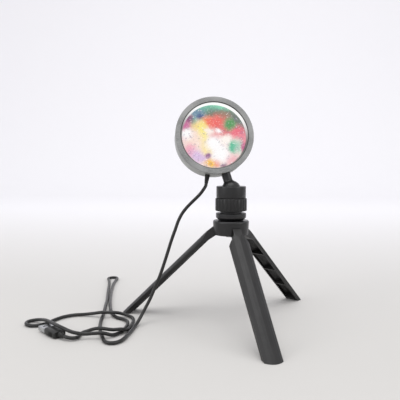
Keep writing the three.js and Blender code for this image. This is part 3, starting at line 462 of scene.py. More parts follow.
# %% [markdown]
# ## The plug
#
# The far end is a moulded USB plug: a rounded black grip, a short tapered relief, and a thin steel
# shell round a white tongue with four contacts. The grip could be a box with its edges bevelled,
# but a real one swells a little in the middle and is pinched where fingers hold it, so it is lofted
# from rounded sections along its length.

# %% Lofts of rounded sections


def rounded_section(width, height, corner, steps=5):
    """Points round a rectangle with round corners, in its own plane."""
    x, y = width / 2 - corner, height / 2 - corner
    points = []
    for cx, cy, first in ((x, -y, -90), (x, y, 0), (-x, y, 90), (-x, -y, 180)):
        for k in range(steps + 1):
            a = math.radians(first + 90 * k / steps)
            points.append((cx + corner * math.cos(a), cy + corner * math.sin(a)))
    return points


def lofted(name, stations, place, material, capped=True, angle=35):
    """A skin over sections given as (distance along X, points across in Y and Z), in mm."""
    builder = bmesh.new()
    rings = [
        [builder.verts.new(place @ Vector((x * MM, a * MM, b * MM))) for a, b in section]
        for x, section in stations
    ]
    for low, high in zip(rings, rings[1:]):
        bridge(builder, low, high)
    if capped:
        builder.faces.new(list(reversed(rings[0])))
        builder.faces.new(rings[-1])
    bmesh.ops.recalc_face_normals(builder, faces=builder.faces)
    return finished(name, builder, material, angle)


# Each grip section: distance along the plug, width, height, corner radius.
grip_stations = [
    (-9, 10.6, 5.2, 1.6), (-8.6, 11.6, 6.2, 2), (-7.8, 12.3, 6.7, 2.2), (-5.5, 12.6, 6.9, 2.2),
    (-2, 12.9, 7, 2.2), (2, 13, 7, 2.2), (5.5, 13, 7, 2.2), (7.9, 12.9, 6.9, 2.2),
    (8.7, 12.4, 6.3, 2), (9, 11.8, 5.7, 1.7),
]
plug_grip = lofted(
    "plug_grip", [(x, rounded_section(w, h, r)) for x, w, h, r in grip_stations],
    plug_frame, plug_black,
)
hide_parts("plug_body")
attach(plug_grip, "tripod")
print("plug grip", len(plug_grip.data.vertices), "points")

# %% [markdown]
# ## Relief and ribs
#
# The lead enters the grip through a relief: a short cone with raised rings, so that it bends over a
# length instead of at the edge. A turned piece is a profile spun round an axis, and the Screw
# modifier could spin it, but a small function that makes the rings itself can also put them in any
# frame. The grip's ribs are small blocks with their edges bevelled.

# %% Grip ribs and relief


def turned(name, profile, place, material, sides=96, closed=False, angle=35):
    """A turned piece about its own Z: profile points are (radius, height) in mm."""
    builder = bmesh.new()
    rings = []
    for r, z in profile:
        if r < 1e-6:
            rings.append([builder.verts.new(place @ Vector((0, 0, z * MM)))])
            continue
        rings.append([
            builder.verts.new(
                place @ Vector((r * MM * math.cos(a), r * MM * math.sin(a), z * MM))
            )
            for a in (2 * math.pi * k / sides for k in range(sides))
        ])
    pairs = list(zip(rings, rings[1:])) + ([(rings[-1], rings[0])] if closed else [])
    for low, high in pairs:
        bridge(builder, low, high)
    bmesh.ops.recalc_face_normals(builder, faces=builder.faces)
    return finished(name, builder, material, angle)


def eased(points, radius, steps=3, closed=False):
    """The same profile with each corner rounded to the given radius."""
    count = len(points)
    made = []
    for i, point in enumerate(points):
        at_end = not closed and i in (0, count - 1)
        if at_end or point[0] < 1e-6:
            made.append(point)
            continue
        p = Vector(point)
        back = Vector(points[i - 1]) - p
        ahead = Vector(points[(i + 1) % count]) - p
        reach = min(radius, back.length * 0.45, ahead.length * 0.45)
        first = p + back.normalized() * reach
        last = p + ahead.normalized() * reach
        for k in range(steps + 1):
            t = k / steps
            q = first * (1 - t) ** 2 + p * 2 * t * (1 - t) + last * t**2
            made.append((q.x, q.y))
    return made


along_plug = plug_frame @ Matrix.Rotation(math.pi / 2, 4, "Y")
RELIEF_RINGS = 5
relief_profile = [(0, -15.3), (1.8, -15.3)]
for k in range(RELIEF_RINGS):
    z = -15.1 + k * 1.15
    r = 1.85 + 0.19 * k
    relief_profile += [(r, z), (r + 0.16, z + 0.2), (r + 0.16, z + 0.6), (r, z + 0.8)]
relief_profile += [(2.85, -9.4), (0, -9.4)]
relief = turned("plug_strain_relief", relief_profile, along_plug, plug_black, sides=32)
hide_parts("plug_relief")
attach(relief, "tripod")

RIBS = 5
RIB_FIRST, RIB_PITCH = -4.6, 1.5
RIB_LENGTH, RIB_DEPTH, RIB_HEIGHT = 0.6, 0.5, 3.8
RIB_OUT = 6.45
RIB_EDGE = 0.12
builder = bmesh.new()
for side in (-1, 1):
    for k in range(RIBS):
        x = RIB_FIRST + k * RIB_PITCH
        made = bmesh.ops.create_cube(builder, size=1)["verts"]
        scale = Matrix.Diagonal((RIB_LENGTH * MM, RIB_DEPTH * MM, RIB_HEIGHT * MM, 1))
        shift = Matrix.Translation(Vector((x, side * RIB_OUT, 0)) * MM)
        bmesh.ops.transform(builder, matrix=plug_frame @ shift @ scale, verts=made)
bmesh.ops.bevel(
    builder, geom=builder.edges[:], offset=RIB_EDGE * MM, segments=2, affect="EDGES"
)
ribs = finished("plug_grip_ribs", builder, plug_black)
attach(ribs, "tripod")
print("plug relief and ribs made")

# %% [markdown]
# ## The plug's shell
#
# The shell is a folded steel tube with two small windows in each broad side, and inside it four
# brass strips lie on the white tongue. The windows could be cut through with booleans, but at this
# size a very thin dark plate on each, a painted shade for the dark inside of the hole, reads the same
# and leaves the shell's mesh clean.

# %% Shell, windows and contacts


def boxes(name, sizes, place, material, edge):
    """Several small bevelled blocks as one piece: each is (low corner, high corner) in mm."""
    builder = bmesh.new()
    for low, high in sizes:
        made = bmesh.ops.create_cube(builder, size=1)["verts"]
        low, high = Vector(low) * MM, Vector(high) * MM
        matrix = Matrix.Translation((low + high) / 2) @ Matrix.Diagonal((*(high - low), 1))
        bmesh.ops.transform(builder, matrix=place @ matrix, verts=made)
    bmesh.ops.bevel(
        builder, geom=builder.edges[:], offset=edge * MM, segments=2, affect="EDGES"
    )
    return finished(name, builder, material)


shell_outer = rounded_section(12, 4.5, 0.6)
shell_inner = rounded_section(11.2, 3.7, 0.3)
shell = lofted(
    "plug_steel_shell",
    [(9.3, shell_inner), (9.3, shell_outer), (20.6, shell_outer),
     (20.8, rounded_section(11.8, 4.3, 0.5)), (20.8, shell_inner), (9.3, shell_inner)],
    plug_frame, plated_steel, capped=False, angle=30,
)
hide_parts("plug_shell")
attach(shell, "tripod")
# painted shade: near-black plates stand in for the shadowed holes of the shell's windows
window_painted_shade = moulded("window_painted_shade", "#060606", "#0c0c0c", 0.6).material
windows = boxes(
    "plug_shell_windows",
    [
        ((14.2, y - 1.1, z - 0.03), (16.4, y + 1.1, z + 0.03))
        for y in (-2.8, 2.8)
        for z in (-2.25, 2.25)
    ],
    plug_frame, window_painted_shade, edge=0.02,
)
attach(windows, "tripod")
contacts = boxes(
    "plug_contacts",
    [
        ((11.2, y - 0.5, -0.12), (19.4 if abs(y) > 2 else 18.6, y + 0.5, 0))
        for y in (-3.5, -1.1, 1.1, 3.5)
    ],
    plug_frame, turned_brass, edge=0.03,
)
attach(contacts, "tripod")
print("shell and contacts made")

# %% [markdown]
# ## The lead on the table
#
# From where it touches down, the lead lies on the table as far as the plug, and none of it moves, so
# it is a single tube that rides on the stand. Where it passes over itself the line already rises in
# a low hump. A physics simulation could settle a loose lead, but it would lie differently each time
# something was changed.

# %% The lead on the table
floor_path = stretch(CUTS[-1], lead_length)
lead_on_table = swept("lead_on_table", floor_path, LEAD_RADIUS, lead_black)
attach(lead_on_table, "tripod")
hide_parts("lead_floor_1", "lead_floor_2", "lead_floor_3", "lead_floor_4")
print("lead on the table", round(lead_length - CUTS[-1], 3), "m")

# %% [markdown]
# ## The drum of the lamp
#
# The drum is turned work in plastic: a flat front ring whose inner chamfer is painted a darker grey
# as painted shade, a thin groove behind it painted the same darker grey as a painted shadow, a plain
# barrel, and a rear cover that tapers to a small flat back. The model's own pieces are cut in flats,
# so each one that shows is spun again here as a smooth profile, with its corners eased. A bevel
# modifier would also do it, but rounding the profile keeps the mesh light.

# %% Front ring, groove and barrel
BEZEL_FRONT = 8.27
CHAMFER_EDGE = 34.3
GROOVE_BACK = 4.3
bezel_profile = eased(
    [(35.4, 1), (36.4, 1), (36.4, 5), (39.27, 5), (39.27, BEZEL_FRONT),
     (34.5, BEZEL_FRONT), (33.5, BEZEL_FRONT - 0.9), (33.5, 7), (35.4, 7)],
    0.28, closed=True,
)
DRUM_SIDES = 160
DRUM_SHARP = 28
front_ring = turned(
    "front_ring", bezel_profile, lamp_frame, bezel_grey, DRUM_SIDES, closed=True, angle=DRUM_SHARP
)
# painted shade: faces inside the chamfer edge get the darker grey, for the shade at the rim of the
# opening
front_ring.data.materials.append(painted_shade_grey)
to_lamp = lamp_frame.inverted()
for face in front_ring.data.polygons:
    local = to_lamp @ face.center
    if math.hypot(local.x, local.y) < CHAMFER_EDGE * MM:
        face.material_index = 1
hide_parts("bezel_ring")
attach(front_ring, "lamp")

barrel_profile = eased(
    [(36.7, -13.95), (38.7, -13.95), (38.7, 4.4), (38.0, 4.4), (38.0, 4.7), (36.7, 4.7)],
    0.25, closed=True,
)
barrel = turned(
    "drum_barrel", barrel_profile, lamp_frame, barrel_grey, DRUM_SIDES, closed=True,
    angle=DRUM_SHARP,
)
# painted shadow: the groove's faces behind the front ring get the darker grey
barrel.data.materials.append(painted_shade_grey)
for face in barrel.data.polygons:
    if (to_lamp @ face.center).z > GROOVE_BACK * MM:
        face.material_index = 1
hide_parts("barrel")
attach(barrel, "lamp")
print("drum front made")

# %% [markdown]
# ## The rear cover
#
# Behind the barrel the drum draws in through a soft curve to a small flat back, with three screws in
# deep wells. The cover is turned like the rest, and the wells are cut with exact booleans that are
# applied at once, because a finished mesh is quicker to work with than a stack of modifiers. A thin
# liner in each well gives it a clean wall and a seat for its screw.

# %% Rear cover


def spline_profile(points, steps=6):
    """A smooth profile through a few set points."""
    line = smooth_line([Vector((r, z, 0)) for r, z in points], steps)
    return [(p.x, p.y) for p in line]


cover_back = [(5.8, -38)] + eased([(20, -38), (23.4, -38), (25.2, -36.2)], 1.5, 4)[1:-1]
cover_side = spline_profile(
    [(25.2, -36.2), (29.3, -31), (33.7, -25), (36.7, -20.4), (38.3, -16.8), (38.7, -14.4)]
)
cover_inside = [
    (38.55, -14.25), (35.4, -14.25), (35.4, -16), (32, -24.6), (22.9, -35.6), (5.8, -36),
]
rear = turned(
    "drum_rear", cover_back + cover_side + cover_inside, lamp_frame, barrel_grey, DRUM_SIDES,
    closed=True, angle=DRUM_SHARP,
)
print("rear cover turned:", len(rear.data.vertices), "points")

# %% Screw wells in the rear cover
WELLS = 3
WELL_CIRCLE = 29.5
WELL_SIDES = 40
WELL_RADIUS = 3.0


def well_frame(k):
    """The place of one screw well, with its Z along the drum."""
    angle = math.radians(90 + 360 / WELLS * k)
    spot = Vector((WELL_CIRCLE * math.cos(angle), WELL_CIRCLE * math.sin(angle), 0))
    return lamp_frame @ Matrix.Translation(spot * MM)


well_cutters = [
    turned(
        f"well_cutter_{k}", [(0, -50), (WELL_RADIUS, -50), (WELL_RADIUS, -20.0), (0, -20.0)],
        well_frame(k), barrel_grey, WELL_SIDES,
    )
    for k in range(WELLS)
]
for cutter in well_cutters:
    hole = rear.modifiers.new("well", "BOOLEAN")
    hole.operation = "DIFFERENCE"
    hole.object = cutter
    hole.solver = "EXACT"
bpy.context.view_layer.update()
cut_rear = rear.evaluated_get(bpy.context.evaluated_depsgraph_get())
settled = bpy.data.meshes.new_from_object(cut_rear)
rear.modifiers.clear()
rear.data = settled
smooth(rear, DRUM_SHARP)
for cutter in well_cutters:
    bpy.data.objects.remove(cutter)
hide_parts("rear_cover")
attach(rear, "lamp")

liner_profile = [
    (3.02, -29.5), (3.02, -20.1), (1.5, -20.1), (1.5, -19.5), (3.5, -19.5), (3.5, -27.5),
]
for k in range(WELLS):
    liner = turned(
        f"screw_well_{k + 1}", liner_profile, well_frame(k), barrel_grey, WELL_SIDES, closed=True
    )
    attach(liner, "lamp")
print("rear cover made, screw wells:", WELLS)

# %% [markdown]
# ## The push button
#
# A round button in the middle of the back switches the lamp on. It is one turned piece with a
# softened rim and a hidden flange that keeps it in the cover, and it rides on its own body, so it
# can be pressed.

# %% Push button at the back
button_profile = eased(
    [(0, -39.6), (4.4, -39.6), (5.5, -38.9), (5.5, -36), (7, -35.7), (7, -34.7), (0, -34.7)], 0.3
)
button = turned("rear_button", button_profile, lamp_frame, bezel_grey, 64)
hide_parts("power_button")
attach(button, "power_button")
print("button made")

# %% [markdown]
# ## The lit lens
#
# Behind the front ring sits a rippled clear lens, lit from behind through a coated colour disc. Its
# light is a patchwork: mint and dark green at the top, blue and magenta at the upper left, coral and
# orange in the middle, yellow down the left, teal and pink at the right, and burnt-out white where
# the chip shines straight through. Each patch is a soft spot at a place on the lens, laid over the
# last and pushed about by noise, and small droplet rings are added on top. A lens lit by a real
# modelled chip would need caustics, which take far too long to settle, so the lens glows itself.

# %% Lens mesh with ripples
LENS_RADIUS = 33.2
LENS_TURN = math.radians(17)
LENS_RIM = 2.0
LENS_EDGE = 3.9
RIPPLE = 0.16


def lens_height(x, y):
    """How far the lens face stands out: a shallow dome with fine ripples, in mm."""
    far = math.hypot(x, y) / LENS_RADIUS
    dome = 1.0 * (1 - far * far)
    across = math.sin(x * 0.9 + 1.7 * math.sin(y * 0.31))
    upward = math.sin(y * 0.8 + 1.3 * math.sin(x * 0.27))
    ripple = across * upward
    return LENS_RIM + dome + RIPPLE * ripple * (1 - far**6)


def lens_point(x, y):
    return builder.verts.new(lamp_frame @ Vector((x * MM, y * MM, lens_height(x, y) * MM)))


builder = bmesh.new()
lens_rings = []
RINGS, SPOKES = 64, 144
for i in range(RINGS + 1):
    r = LENS_RADIUS * i / RINGS
    if i == 0:
        lens_rings.append([lens_point(0, 0)])
        continue
    turns = [2 * math.pi * k / SPOKES for k in range(SPOKES)]
    lens_rings.append([lens_point(r * math.cos(a), r * math.sin(a)) for a in turns])
edge = [builder.verts.new(v.co - lamp_axis * LENS_EDGE * MM) for v in lens_rings[-1]]
lens_rings.append(edge)
for low, high in zip(lens_rings, lens_rings[1:]):
    bridge(builder, low, high)
builder.faces.new(list(reversed(edge)))
bmesh.ops.recalc_face_normals(builder, faces=builder.faces)

colour_map = builder.loops.layers.uv.new("lens_face")
for face in builder.faces:
    for loop in face.loops:
        local = (to_lamp @ loop.vert.co) / (LENS_RADIUS * MM)
        x = local.x * math.cos(LENS_TURN) - local.y * math.sin(LENS_TURN)
        y = local.x * math.sin(LENS_TURN) + local.y * math.cos(LENS_TURN)
        loop[colour_map].uv = (x, y)
print("lens mesh faces:", len(builder.faces))

# %% [markdown]
# ## The lens colours
#
# The patches are laid one over another like washes of paint, so a later patch covers an earlier
# one. The place on the lens is first pushed about by noise at three sizes, which turns every round
# spot into a ragged blot. A colour ramp could make bands, but not patches at chosen places.

# %% Colours of the lens
# Each patch: middle across and up (1 is the lens radius), half sizes, colour, strength.
PATCHES = [
    (0.02, 0.86, 0.80, 0.24, "#86d2b2", 1.0), (-0.25, 0.80, 0.40, 0.16, "#63b59c", 0.8),
    (0.28, 0.72, 0.62, 0.16, "#6f8a76", 0.95), (-0.05, 0.66, 0.45, 0.10, "#6b7566", 0.8),
    (0.74, 0.55, 0.34, 0.34, "#69796f", 1.0), (0.90, 0.30, 0.22, 0.34, "#73837a", 0.95),
    (-0.50, 0.70, 0.24, 0.22, "#6d93a8", 1.0), (-0.42, 0.56, 0.13, 0.12, "#3c5788", 1.0),
    (-0.62, 0.44, 0.10, 0.16, "#3fa9a8", 0.95), (-0.78, 0.50, 0.17, 0.18, "#7b4d70", 1.0),
    (-0.84, 0.30, 0.18, 0.17, "#c96f9c", 1.0), (-0.88, 0.02, 0.10, 0.20, "#f0b9c6", 0.7),
    (0.26, 0.60, 0.26, 0.20, "#a77e6a", 0.9), (-0.18, 0.45, 0.22, 0.18, "#f0814f", 1.0),
    (0.08, 0.42, 0.30, 0.24, "#ef6a60", 1.0), (0.30, 0.16, 0.30, 0.22, "#dc6a68", 0.9),
    (0.14, 0.02, 0.26, 0.16, "#ea8f92", 0.8), (0.70, 0.14, 0.26, 0.24, "#ec6b7c", 0.95),
    (0.90, -0.06, 0.16, 0.30, "#ee8d9c", 0.9), (0.48, 0.38, 0.20, 0.20, "#4f9a58", 1.0),
    (-0.48, 0.30, 0.24, 0.18, "#f2d58a", 0.95), (-0.36, 0.06, 0.18, 0.40, "#fbee88", 0.95),
    (-0.60, -0.14, 0.28, 0.34, "#fbe3d4", 0.9), (-0.74, -0.48, 0.20, 0.24, "#f3a9bd", 0.9),
    (-0.46, -0.64, 0.30, 0.24, "#d9bde6", 0.9), (-0.22, -0.42, 0.20, 0.18, "#fbe79c", 0.8),
    (0.56, -0.32, 0.15, 0.20, "#2fb88d", 1.0), (0.74, -0.32, 0.16, 0.22, "#9fd2bb", 0.8),
    (0.54, -0.74, 0.26, 0.20, "#f2b4bb", 0.85), (0.90, -0.36, 0.10, 0.20, "#c45a8c", 0.9),
    (-0.12, -0.82, 0.20, 0.16, "#f8c246", 1.0), (0.09, -0.80, 0.12, 0.14, "#f07d4c", 0.95),
    (-0.20, -0.59, 0.10, 0.08, "#8a4b86", 0.95), (0.27, -0.90, 0.11, 0.08, "#7c4a6d", 0.9),
    (-0.83, 0.06, 0.17, 0.17, "#ffffff", 1.0), (0.00, -0.22, 0.26, 0.24, "#ffffff", 1.0),
    (0.18, -0.52, 0.30, 0.32, "#ffffff", 1.0), (0.38, -0.10, 0.20, 0.16, "#fffaf2", 0.95),
    (0.13, 0.17, 0.11, 0.09, "#ffffff", 0.95), (-0.14, 0.15, 0.12, 0.08, "#fff6ee", 0.8),
]
lens_finish = Finish("lit_lens")
face_place = lens_finish.node("ShaderNodeUVMap", uv_map="lens_face").outputs["UV"]


def pushed(place, scale, amount):
    """The place on the lens, pushed about by coloured noise."""
    noise = lens_finish.node("ShaderNodeTexNoise")
    noise.inputs["Scale"].default_value = scale
    noise.inputs["Detail"].default_value = 3
    lens_finish.join(place, noise.inputs["Vector"])
    centred = lens_finish.node("ShaderNodeVectorMath", operation="SUBTRACT")
    lens_finish.join(noise.outputs["Color"], centred.inputs[0])
    centred.inputs[1].default_value = (0.5, 0.5, 0.5)
    scaled = lens_finish.node("ShaderNodeVectorMath", operation="SCALE")
    lens_finish.join(centred.outputs[0], scaled.inputs[0])
    scaled.inputs["Scale"].default_value = amount
    moved = lens_finish.node("ShaderNodeVectorMath", operation="ADD")
    lens_finish.join(place, moved.inputs[0])
    lens_finish.join(scaled.outputs[0], moved.inputs[1])
    return moved.outputs[0]


wavy = pushed(pushed(pushed(face_place, 2.6, 0.2), 9, 0.12), 28, 0.06)


def soft_spot(x, y, wide, tall):
    """How far the place lies from a patch's middle, measured in the patch's half sizes."""
    offset = lens_finish.node("ShaderNodeVectorMath", operation="SUBTRACT")
    lens_finish.join(wavy, offset.inputs[0])
    offset.inputs[1].default_value = (x, y, 0)
    squeezed = lens_finish.node("ShaderNodeVectorMath", operation="MULTIPLY")
    lens_finish.join(offset.outputs[0], squeezed.inputs[0])
    squeezed.inputs[1].default_value = (1 / wide, 1 / tall, 0)
    far = lens_finish.node("ShaderNodeVectorMath", operation="LENGTH")
    lens_finish.join(squeezed.outputs[0], far.inputs[0])
    return far.outputs["Value"]


glow = shade("#f7e3dc")
for x, y, wide, tall, tint, strength in PATCHES:
    spot = lens_finish.spread(soft_spot(x, y, wide, tall), 0.3, 1.45, strength, 0, True)
    glow = lens_finish.mix(spot, glow, shade(tint))
print("colour patches:", len(PATCHES))

# %% [markdown]
# ## Droplets and sparkle
#
# The coating has small rings and bright flecks. A Voronoi texture scatters points over the lens, and
# keeping only a narrow range of distance from them draws a ring round each. A second test on each
# cell's own random colour leaves most of them out, so that the rings stay scattered.

# %% Droplets and sparkle on the lens


def droplets(scale, ring_low, ring_high, tint, rarity, strength):
    """Thin rings round scattered points, like drops on the glass."""
    cells = lens_finish.node("ShaderNodeTexVoronoi")
    cells.inputs["Scale"].default_value = scale
    cells.inputs["Randomness"].default_value = 1
    lens_finish.join(wavy, cells.inputs["Vector"])
    far = cells.outputs["Distance"]
    ring_middle = (ring_low + ring_high) / 2
    rise = lens_finish.spread(far, ring_low, ring_middle, 0, 1, True)
    fall = lens_finish.spread(far, ring_middle, ring_high, 1, 0, True)
    ring = lens_finish.node("ShaderNodeMath", operation="MULTIPLY")
    lens_finish.join(rise, ring.inputs[0])
    lens_finish.join(fall, ring.inputs[1])
    chosen = lens_finish.node("ShaderNodeSeparateColor")
    lens_finish.join(cells.outputs["Color"], chosen.inputs[0])
    rare = lens_finish.spread(chosen.outputs[0], rarity, rarity + 0.02, 0, strength)
    kept = lens_finish.node("ShaderNodeMath", operation="MULTIPLY")
    lens_finish.join(ring.outputs[0], kept.inputs[0])
    lens_finish.join(rare, kept.inputs[1])
    return lens_finish.mix(kept.outputs[0], glow, shade(tint))


glow = droplets(7, 0.16, 0.34, "#7c6a94", 0.62, 0.5)
glow = droplets(11, 0.12, 0.30, "#5d7f86", 0.66, 0.5)
glow = droplets(15, 0.0, 0.22, "#b04a63", 0.80, 0.5)
glow = droplets(13, 0.0, 0.26, "#ffffff", 0.70, 0.85)
grain = lens_finish.spread(lens_finish.noise(70, 6, face_place), 0.36, 0.62, 0.30, 0, True)
glow = lens_finish.mix(grain, glow, shade("#6f4a5c"))
flecks = lens_finish.spread(lens_finish.noise(34, 6, wavy), 0.60, 0.72, 0, 0.85, True)
glow = lens_finish.mix(flecks, glow, shade("#fffdf8"))
lens_finish.colour(lens_finish.mix(0.88, glow, (0, 0, 0, 1)))
lens_finish.join(glow, lens_finish.shader.inputs["Emission Color"])
lens_finish.set(Emission_Strength=0.97, Roughness=0.1, IOR=1.5)
lens_finish.bump(lens_finish.noise(260, 3), 0.25, 0.0004)
lens_finish.bump(lens_finish.noise(1200, 2), 0.1, 0.0001)
lens = finished("rippled_lens", builder, lens_finish.material, 40)
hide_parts("lens")
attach(lens, "lamp")
print("lens ready")

# %% [markdown]
# ## The white wall
#
# A white ring holds the lens in place, and it shows as a bright crescent at the upper right, where
# the light of the lamp spills on to it. That spill is a painted glow on the ring: its glow grows from
# one side to the other, which a dot product of the place with one direction gives. Its base colour is
# a painted-shade grey, not white, so the rest of the ring stays dim. A lamp inside would light it
# too, with more noise.

# %% White wall round the lens
# painted light and shade: a grey base for the shaded ring, and a glow for the lamp's spill on it
wall_finish = moulded("lit_white_wall", "#5d5d5b", "#6f6f6c", 0.35, dents=0.1)
apart = wall_finish.node("ShaderNodeVectorMath", operation="DOT_PRODUCT")
wall_finish.join(wall_finish.place, apart.inputs[0])
lit_side = (lamp_right * 0.45 + lean_line * 0.9).normalized()
apart.inputs[1].default_value = lit_side
middle = lit_side.dot(lamp_centre)
LIT_FROM, LIT_TO = -0.004, 0.026
lit = wall_finish.spread(
    apart.outputs["Value"], middle + LIT_FROM, middle + LIT_TO, 0.0, 0.9, True
)
wall_finish.join(lit, wall_finish.shader.inputs["Emission Strength"])
wall_finish.set(Emission_Color=(1, 1, 1, 1))
wall = turned(
    "white_inner_wall",
    eased([(32.2, 2.3), (35.1, 2.3), (35.1, 6.7), (33.3, 6.7)], 0.2, closed=True),
    lamp_frame, wall_finish.material, DRUM_SIDES, closed=True,
)
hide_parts("lens_retainer")
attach(wall, "lamp")
print("inner wall made")

# %% [markdown]
# ## The gland
#
# Where the lead leaves the drum there is a small tapered sleeve of soft plastic. It is ringed like
# a bellows so that it bends with the lead instead of kinking it.

# %% Gland
gland_frame = lamp_frame @ Matrix.Translation((0, 0, -GLAND_BACK * MM))
gland_frame = gland_frame @ Matrix.Rotation(-GLAND_ANGLE, 4, "Z")
gland_frame = gland_frame @ Matrix.Rotation(math.pi / 2, 4, "X")
gland_profile = [(0, 36.0), (1.8, 36.0), (1.8, 38.9), (2.6, 39.0), (2.6, 39.9)]
GLAND_RINGS = 5
for k in range(GLAND_RINGS):
    z = 40.4 + k * 1.35
    r = 2.4 - 0.12 * k
    gland_profile += [(r - 0.12, z), (r, z + 0.25), (r, z + 0.75), (r - 0.14, z + 1.0)]
gland_profile += [(1.8, 47.1), (1.65, 47.3), (0, 47.3)]
gland = turned("gland_sleeve", gland_profile, gland_frame, rubber_black, sides=40)
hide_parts("cable_gland")
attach(gland, "lamp")
print("gland made")

# %% [markdown]
# ## The ball head
#
# The ball head has four pieces: a collar that pans on the hub, a fluted locking ring, the socket,
# and the ball with its stem. The first three share the stand's upright axis, and the stem leans with
# the lamp. Three of them are turned, each from a profile with eased corners, because they are round.

# %% Collar, socket and stem
stand_frame = Matrix.Translation(stand)
collar = turned(
    "pan_collar",
    eased([(3.3, 102.3), (12.2, 102.3), (15.06, 104.9), (15.06, 109.2), (11, 109.2), (11, 111.3),
           (9.5, 111.3), (9.5, 119.9), (3.3, 119.9)], 0.5, closed=True),
    stand_frame, satin_black, closed=True,
)
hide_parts("base_collar")
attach(collar, "ball_base")
socket_outer = eased(
    [(12.4, 111.6), (12.4, 124.3), (14.68, 124.3), (14.68, 135.9), (9.6, 135.9)], 0.6
)
BALL_RADIUS = 10
CUP_RADIUS = 10.3
BALL_HEIGHT = 131.8
cup_line = [
    (CUP_RADIUS * math.cos(math.radians(a)), BALL_HEIGHT + CUP_RADIUS * math.sin(math.radians(a)))
    for a in (23.4, 16, 8, 0, -8, -17.9)
]
socket = turned(
    "ball_socket", [(9.8, 111.6)] + socket_outer + cup_line, stand_frame, satin_black, closed=True
)
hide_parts("socket_housing")
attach(socket, "ball_base")
stem_frame = Matrix((lamp_axis, lamp_right, lean_line)).transposed().to_4x4()
stem_frame.translation = ball_centre
ball_line = [
    (BALL_RADIUS * math.cos(math.radians(a)), BALL_RADIUS * math.sin(math.radians(a)))
    for a in range(-90, 58, 5)
]
ball_line[0] = (0, -BALL_RADIUS)
stem_line = [
    (5.0, 9.1), (4.7, 9.7), (4.6, 10.6), (4.6, 17.5), (4.3, STEM_SHOULDER), (2.8, STEM_SHOULDER),
    (2.8, 20.9), (0, 20.9),
]
stem = turned("ball_and_stem", ball_line + stem_line, stem_frame, satin_black, 72)
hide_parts("ball_stud")
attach(stem, "ball_stud")
print("collar, socket and stem made")

# %% [markdown]
# ## The locking ring
#
# The ring that clamps the ball isn't round: it has flutes along it for the fingers. One outline with
# all its flutes is drawn for a given radius and depth, and the ring is lofted through shallower
# copies of it at both ends, so each flute runs out softly. An array of cutters would do it too, but
# leaves sharp ends that need bevels.

# %% Fluted locking ring


FLUTES = 26
# One flute: how far round its pitch, and how deep there.
FLUTE = (
    (0.0, 0), (0.28, 0), (0.5, 0), (0.6, 0.5), (0.68, 0.9), (0.775, 1), (0.87, 0.9), (0.95, 0.5),
)


def fluted_section(radius, depth):
    """Outline with round-bottomed flutes between flat lands."""
    points = []
    for i in range(FLUTES):
        for part, deep in FLUTE:
            a = math.radians(360 / FLUTES * (i + part))
            r = radius - depth * deep
            points.append((r * math.cos(a), r * math.sin(a)))
    return points


upright = stand_frame @ Matrix.Rotation(-math.pi / 2, 4, "Y")
BORE_RADIUS = 12.7
bore_points = FLUTES * len(FLUTE)
bore_turns = [2 * math.pi * k / bore_points for k in range(bore_points)]
bore = [(BORE_RADIUS * math.cos(a), BORE_RADIUS * math.sin(a)) for a in bore_turns]
ring_stations = [
    (111.6, bore), (111.6, fluted_section(15.1, 0.2)), (111.9, fluted_section(15.5, 0.45)),
    (112.3, fluted_section(15.67, 0.6)), (123.3, fluted_section(15.67, 0.6)),
    (123.7, fluted_section(15.5, 0.45)), (124, fluted_section(15.1, 0.2)), (124, bore), (111.6, bore),
]
ring = lofted("locking_ring", ring_stations, upright, ring_black, capped=False, angle=32)
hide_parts("lock_ring")
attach(ring, "lock_ring")
print("locking ring made")

# %% [markdown]
# ## Hub and legs
#
# The hub and legs already have their true shape in the model: slots, arched crowns, ribs. They keep
# that mesh. What they lack is the small radius every moulded edge has, which is what catches the
# light on black plastic. A bevel modifier limited to sharp edges adds it without touching the mesh.

# %% Eased edges on the model's own pieces


def soften(name, material, width, angle=32):
    """Smooth shading and a small edge radius on a piece of the model."""
    piece = nodes[name]
    piece.data.materials.clear()
    piece.data.materials.append(material)
    smooth(piece, angle)
    if width:
        edge = piece.modifiers.new("edge_radius", "BEVEL")
        edge.width = width * MM
        edge.segments = 2
        edge.limit_method = "ANGLE"
        edge.angle_limit = math.radians(angle)
        edge.use_clamp_overlap = True
        edge.harden_normals = True


for leg in ("leg_front", "leg_right", "leg_left"):
    soften(leg, leg_black, 0.35)
soften("tripod_hub", satin_black, 0.3)
soften("hub_cap", ring_black, 0.2)
for name in ("hub_screw", "pin_front", "pin_right", "pin_left"):
    soften(name, plated_steel, 0.12)
print("stand softened")

# %% [markdown]
# ## Inside the lamp
#
# The light, its optics, heat sink and board are hidden in the drum, but anyone who opens the model
# should find them in their real materials. They keep the model's shapes, and only the screws get an
# edge radius, since the rest is out of sight or very small. The cup under the ball and the tongue in
# the plug are given their materials here too.

# %% Inner pieces of the lamp
INNER = {
    "stand_insert": turned_brass, "lens_gasket": rubber_black, "lens_holder": white_plastic,
    "heat_sink": cast_aluminium, "led_board": white_plastic, "led_chip": phosphor,
    "condenser_lens": clear_optic, "driver_board": board_green, "switch_body": ring_black,
    "clamp_cup": white_plastic, "plug_tongue": white_plastic,
    "colour_disc": moulded("coated_disc", "#a8565a", "#d79a78", 0.2, dents=0.05).material,
    "led_screw_1": plated_steel, "led_screw_2": plated_steel, "rear_screw_1": plated_steel,
    "rear_screw_2": plated_steel, "rear_screw_3": plated_steel, "board_screw_1": plated_steel,
    "board_screw_2": plated_steel,
}
for name, material in INNER.items():
    soften(name, material, 0.08 if "screw" in name else 0)
print("inner pieces:", len(INNER))
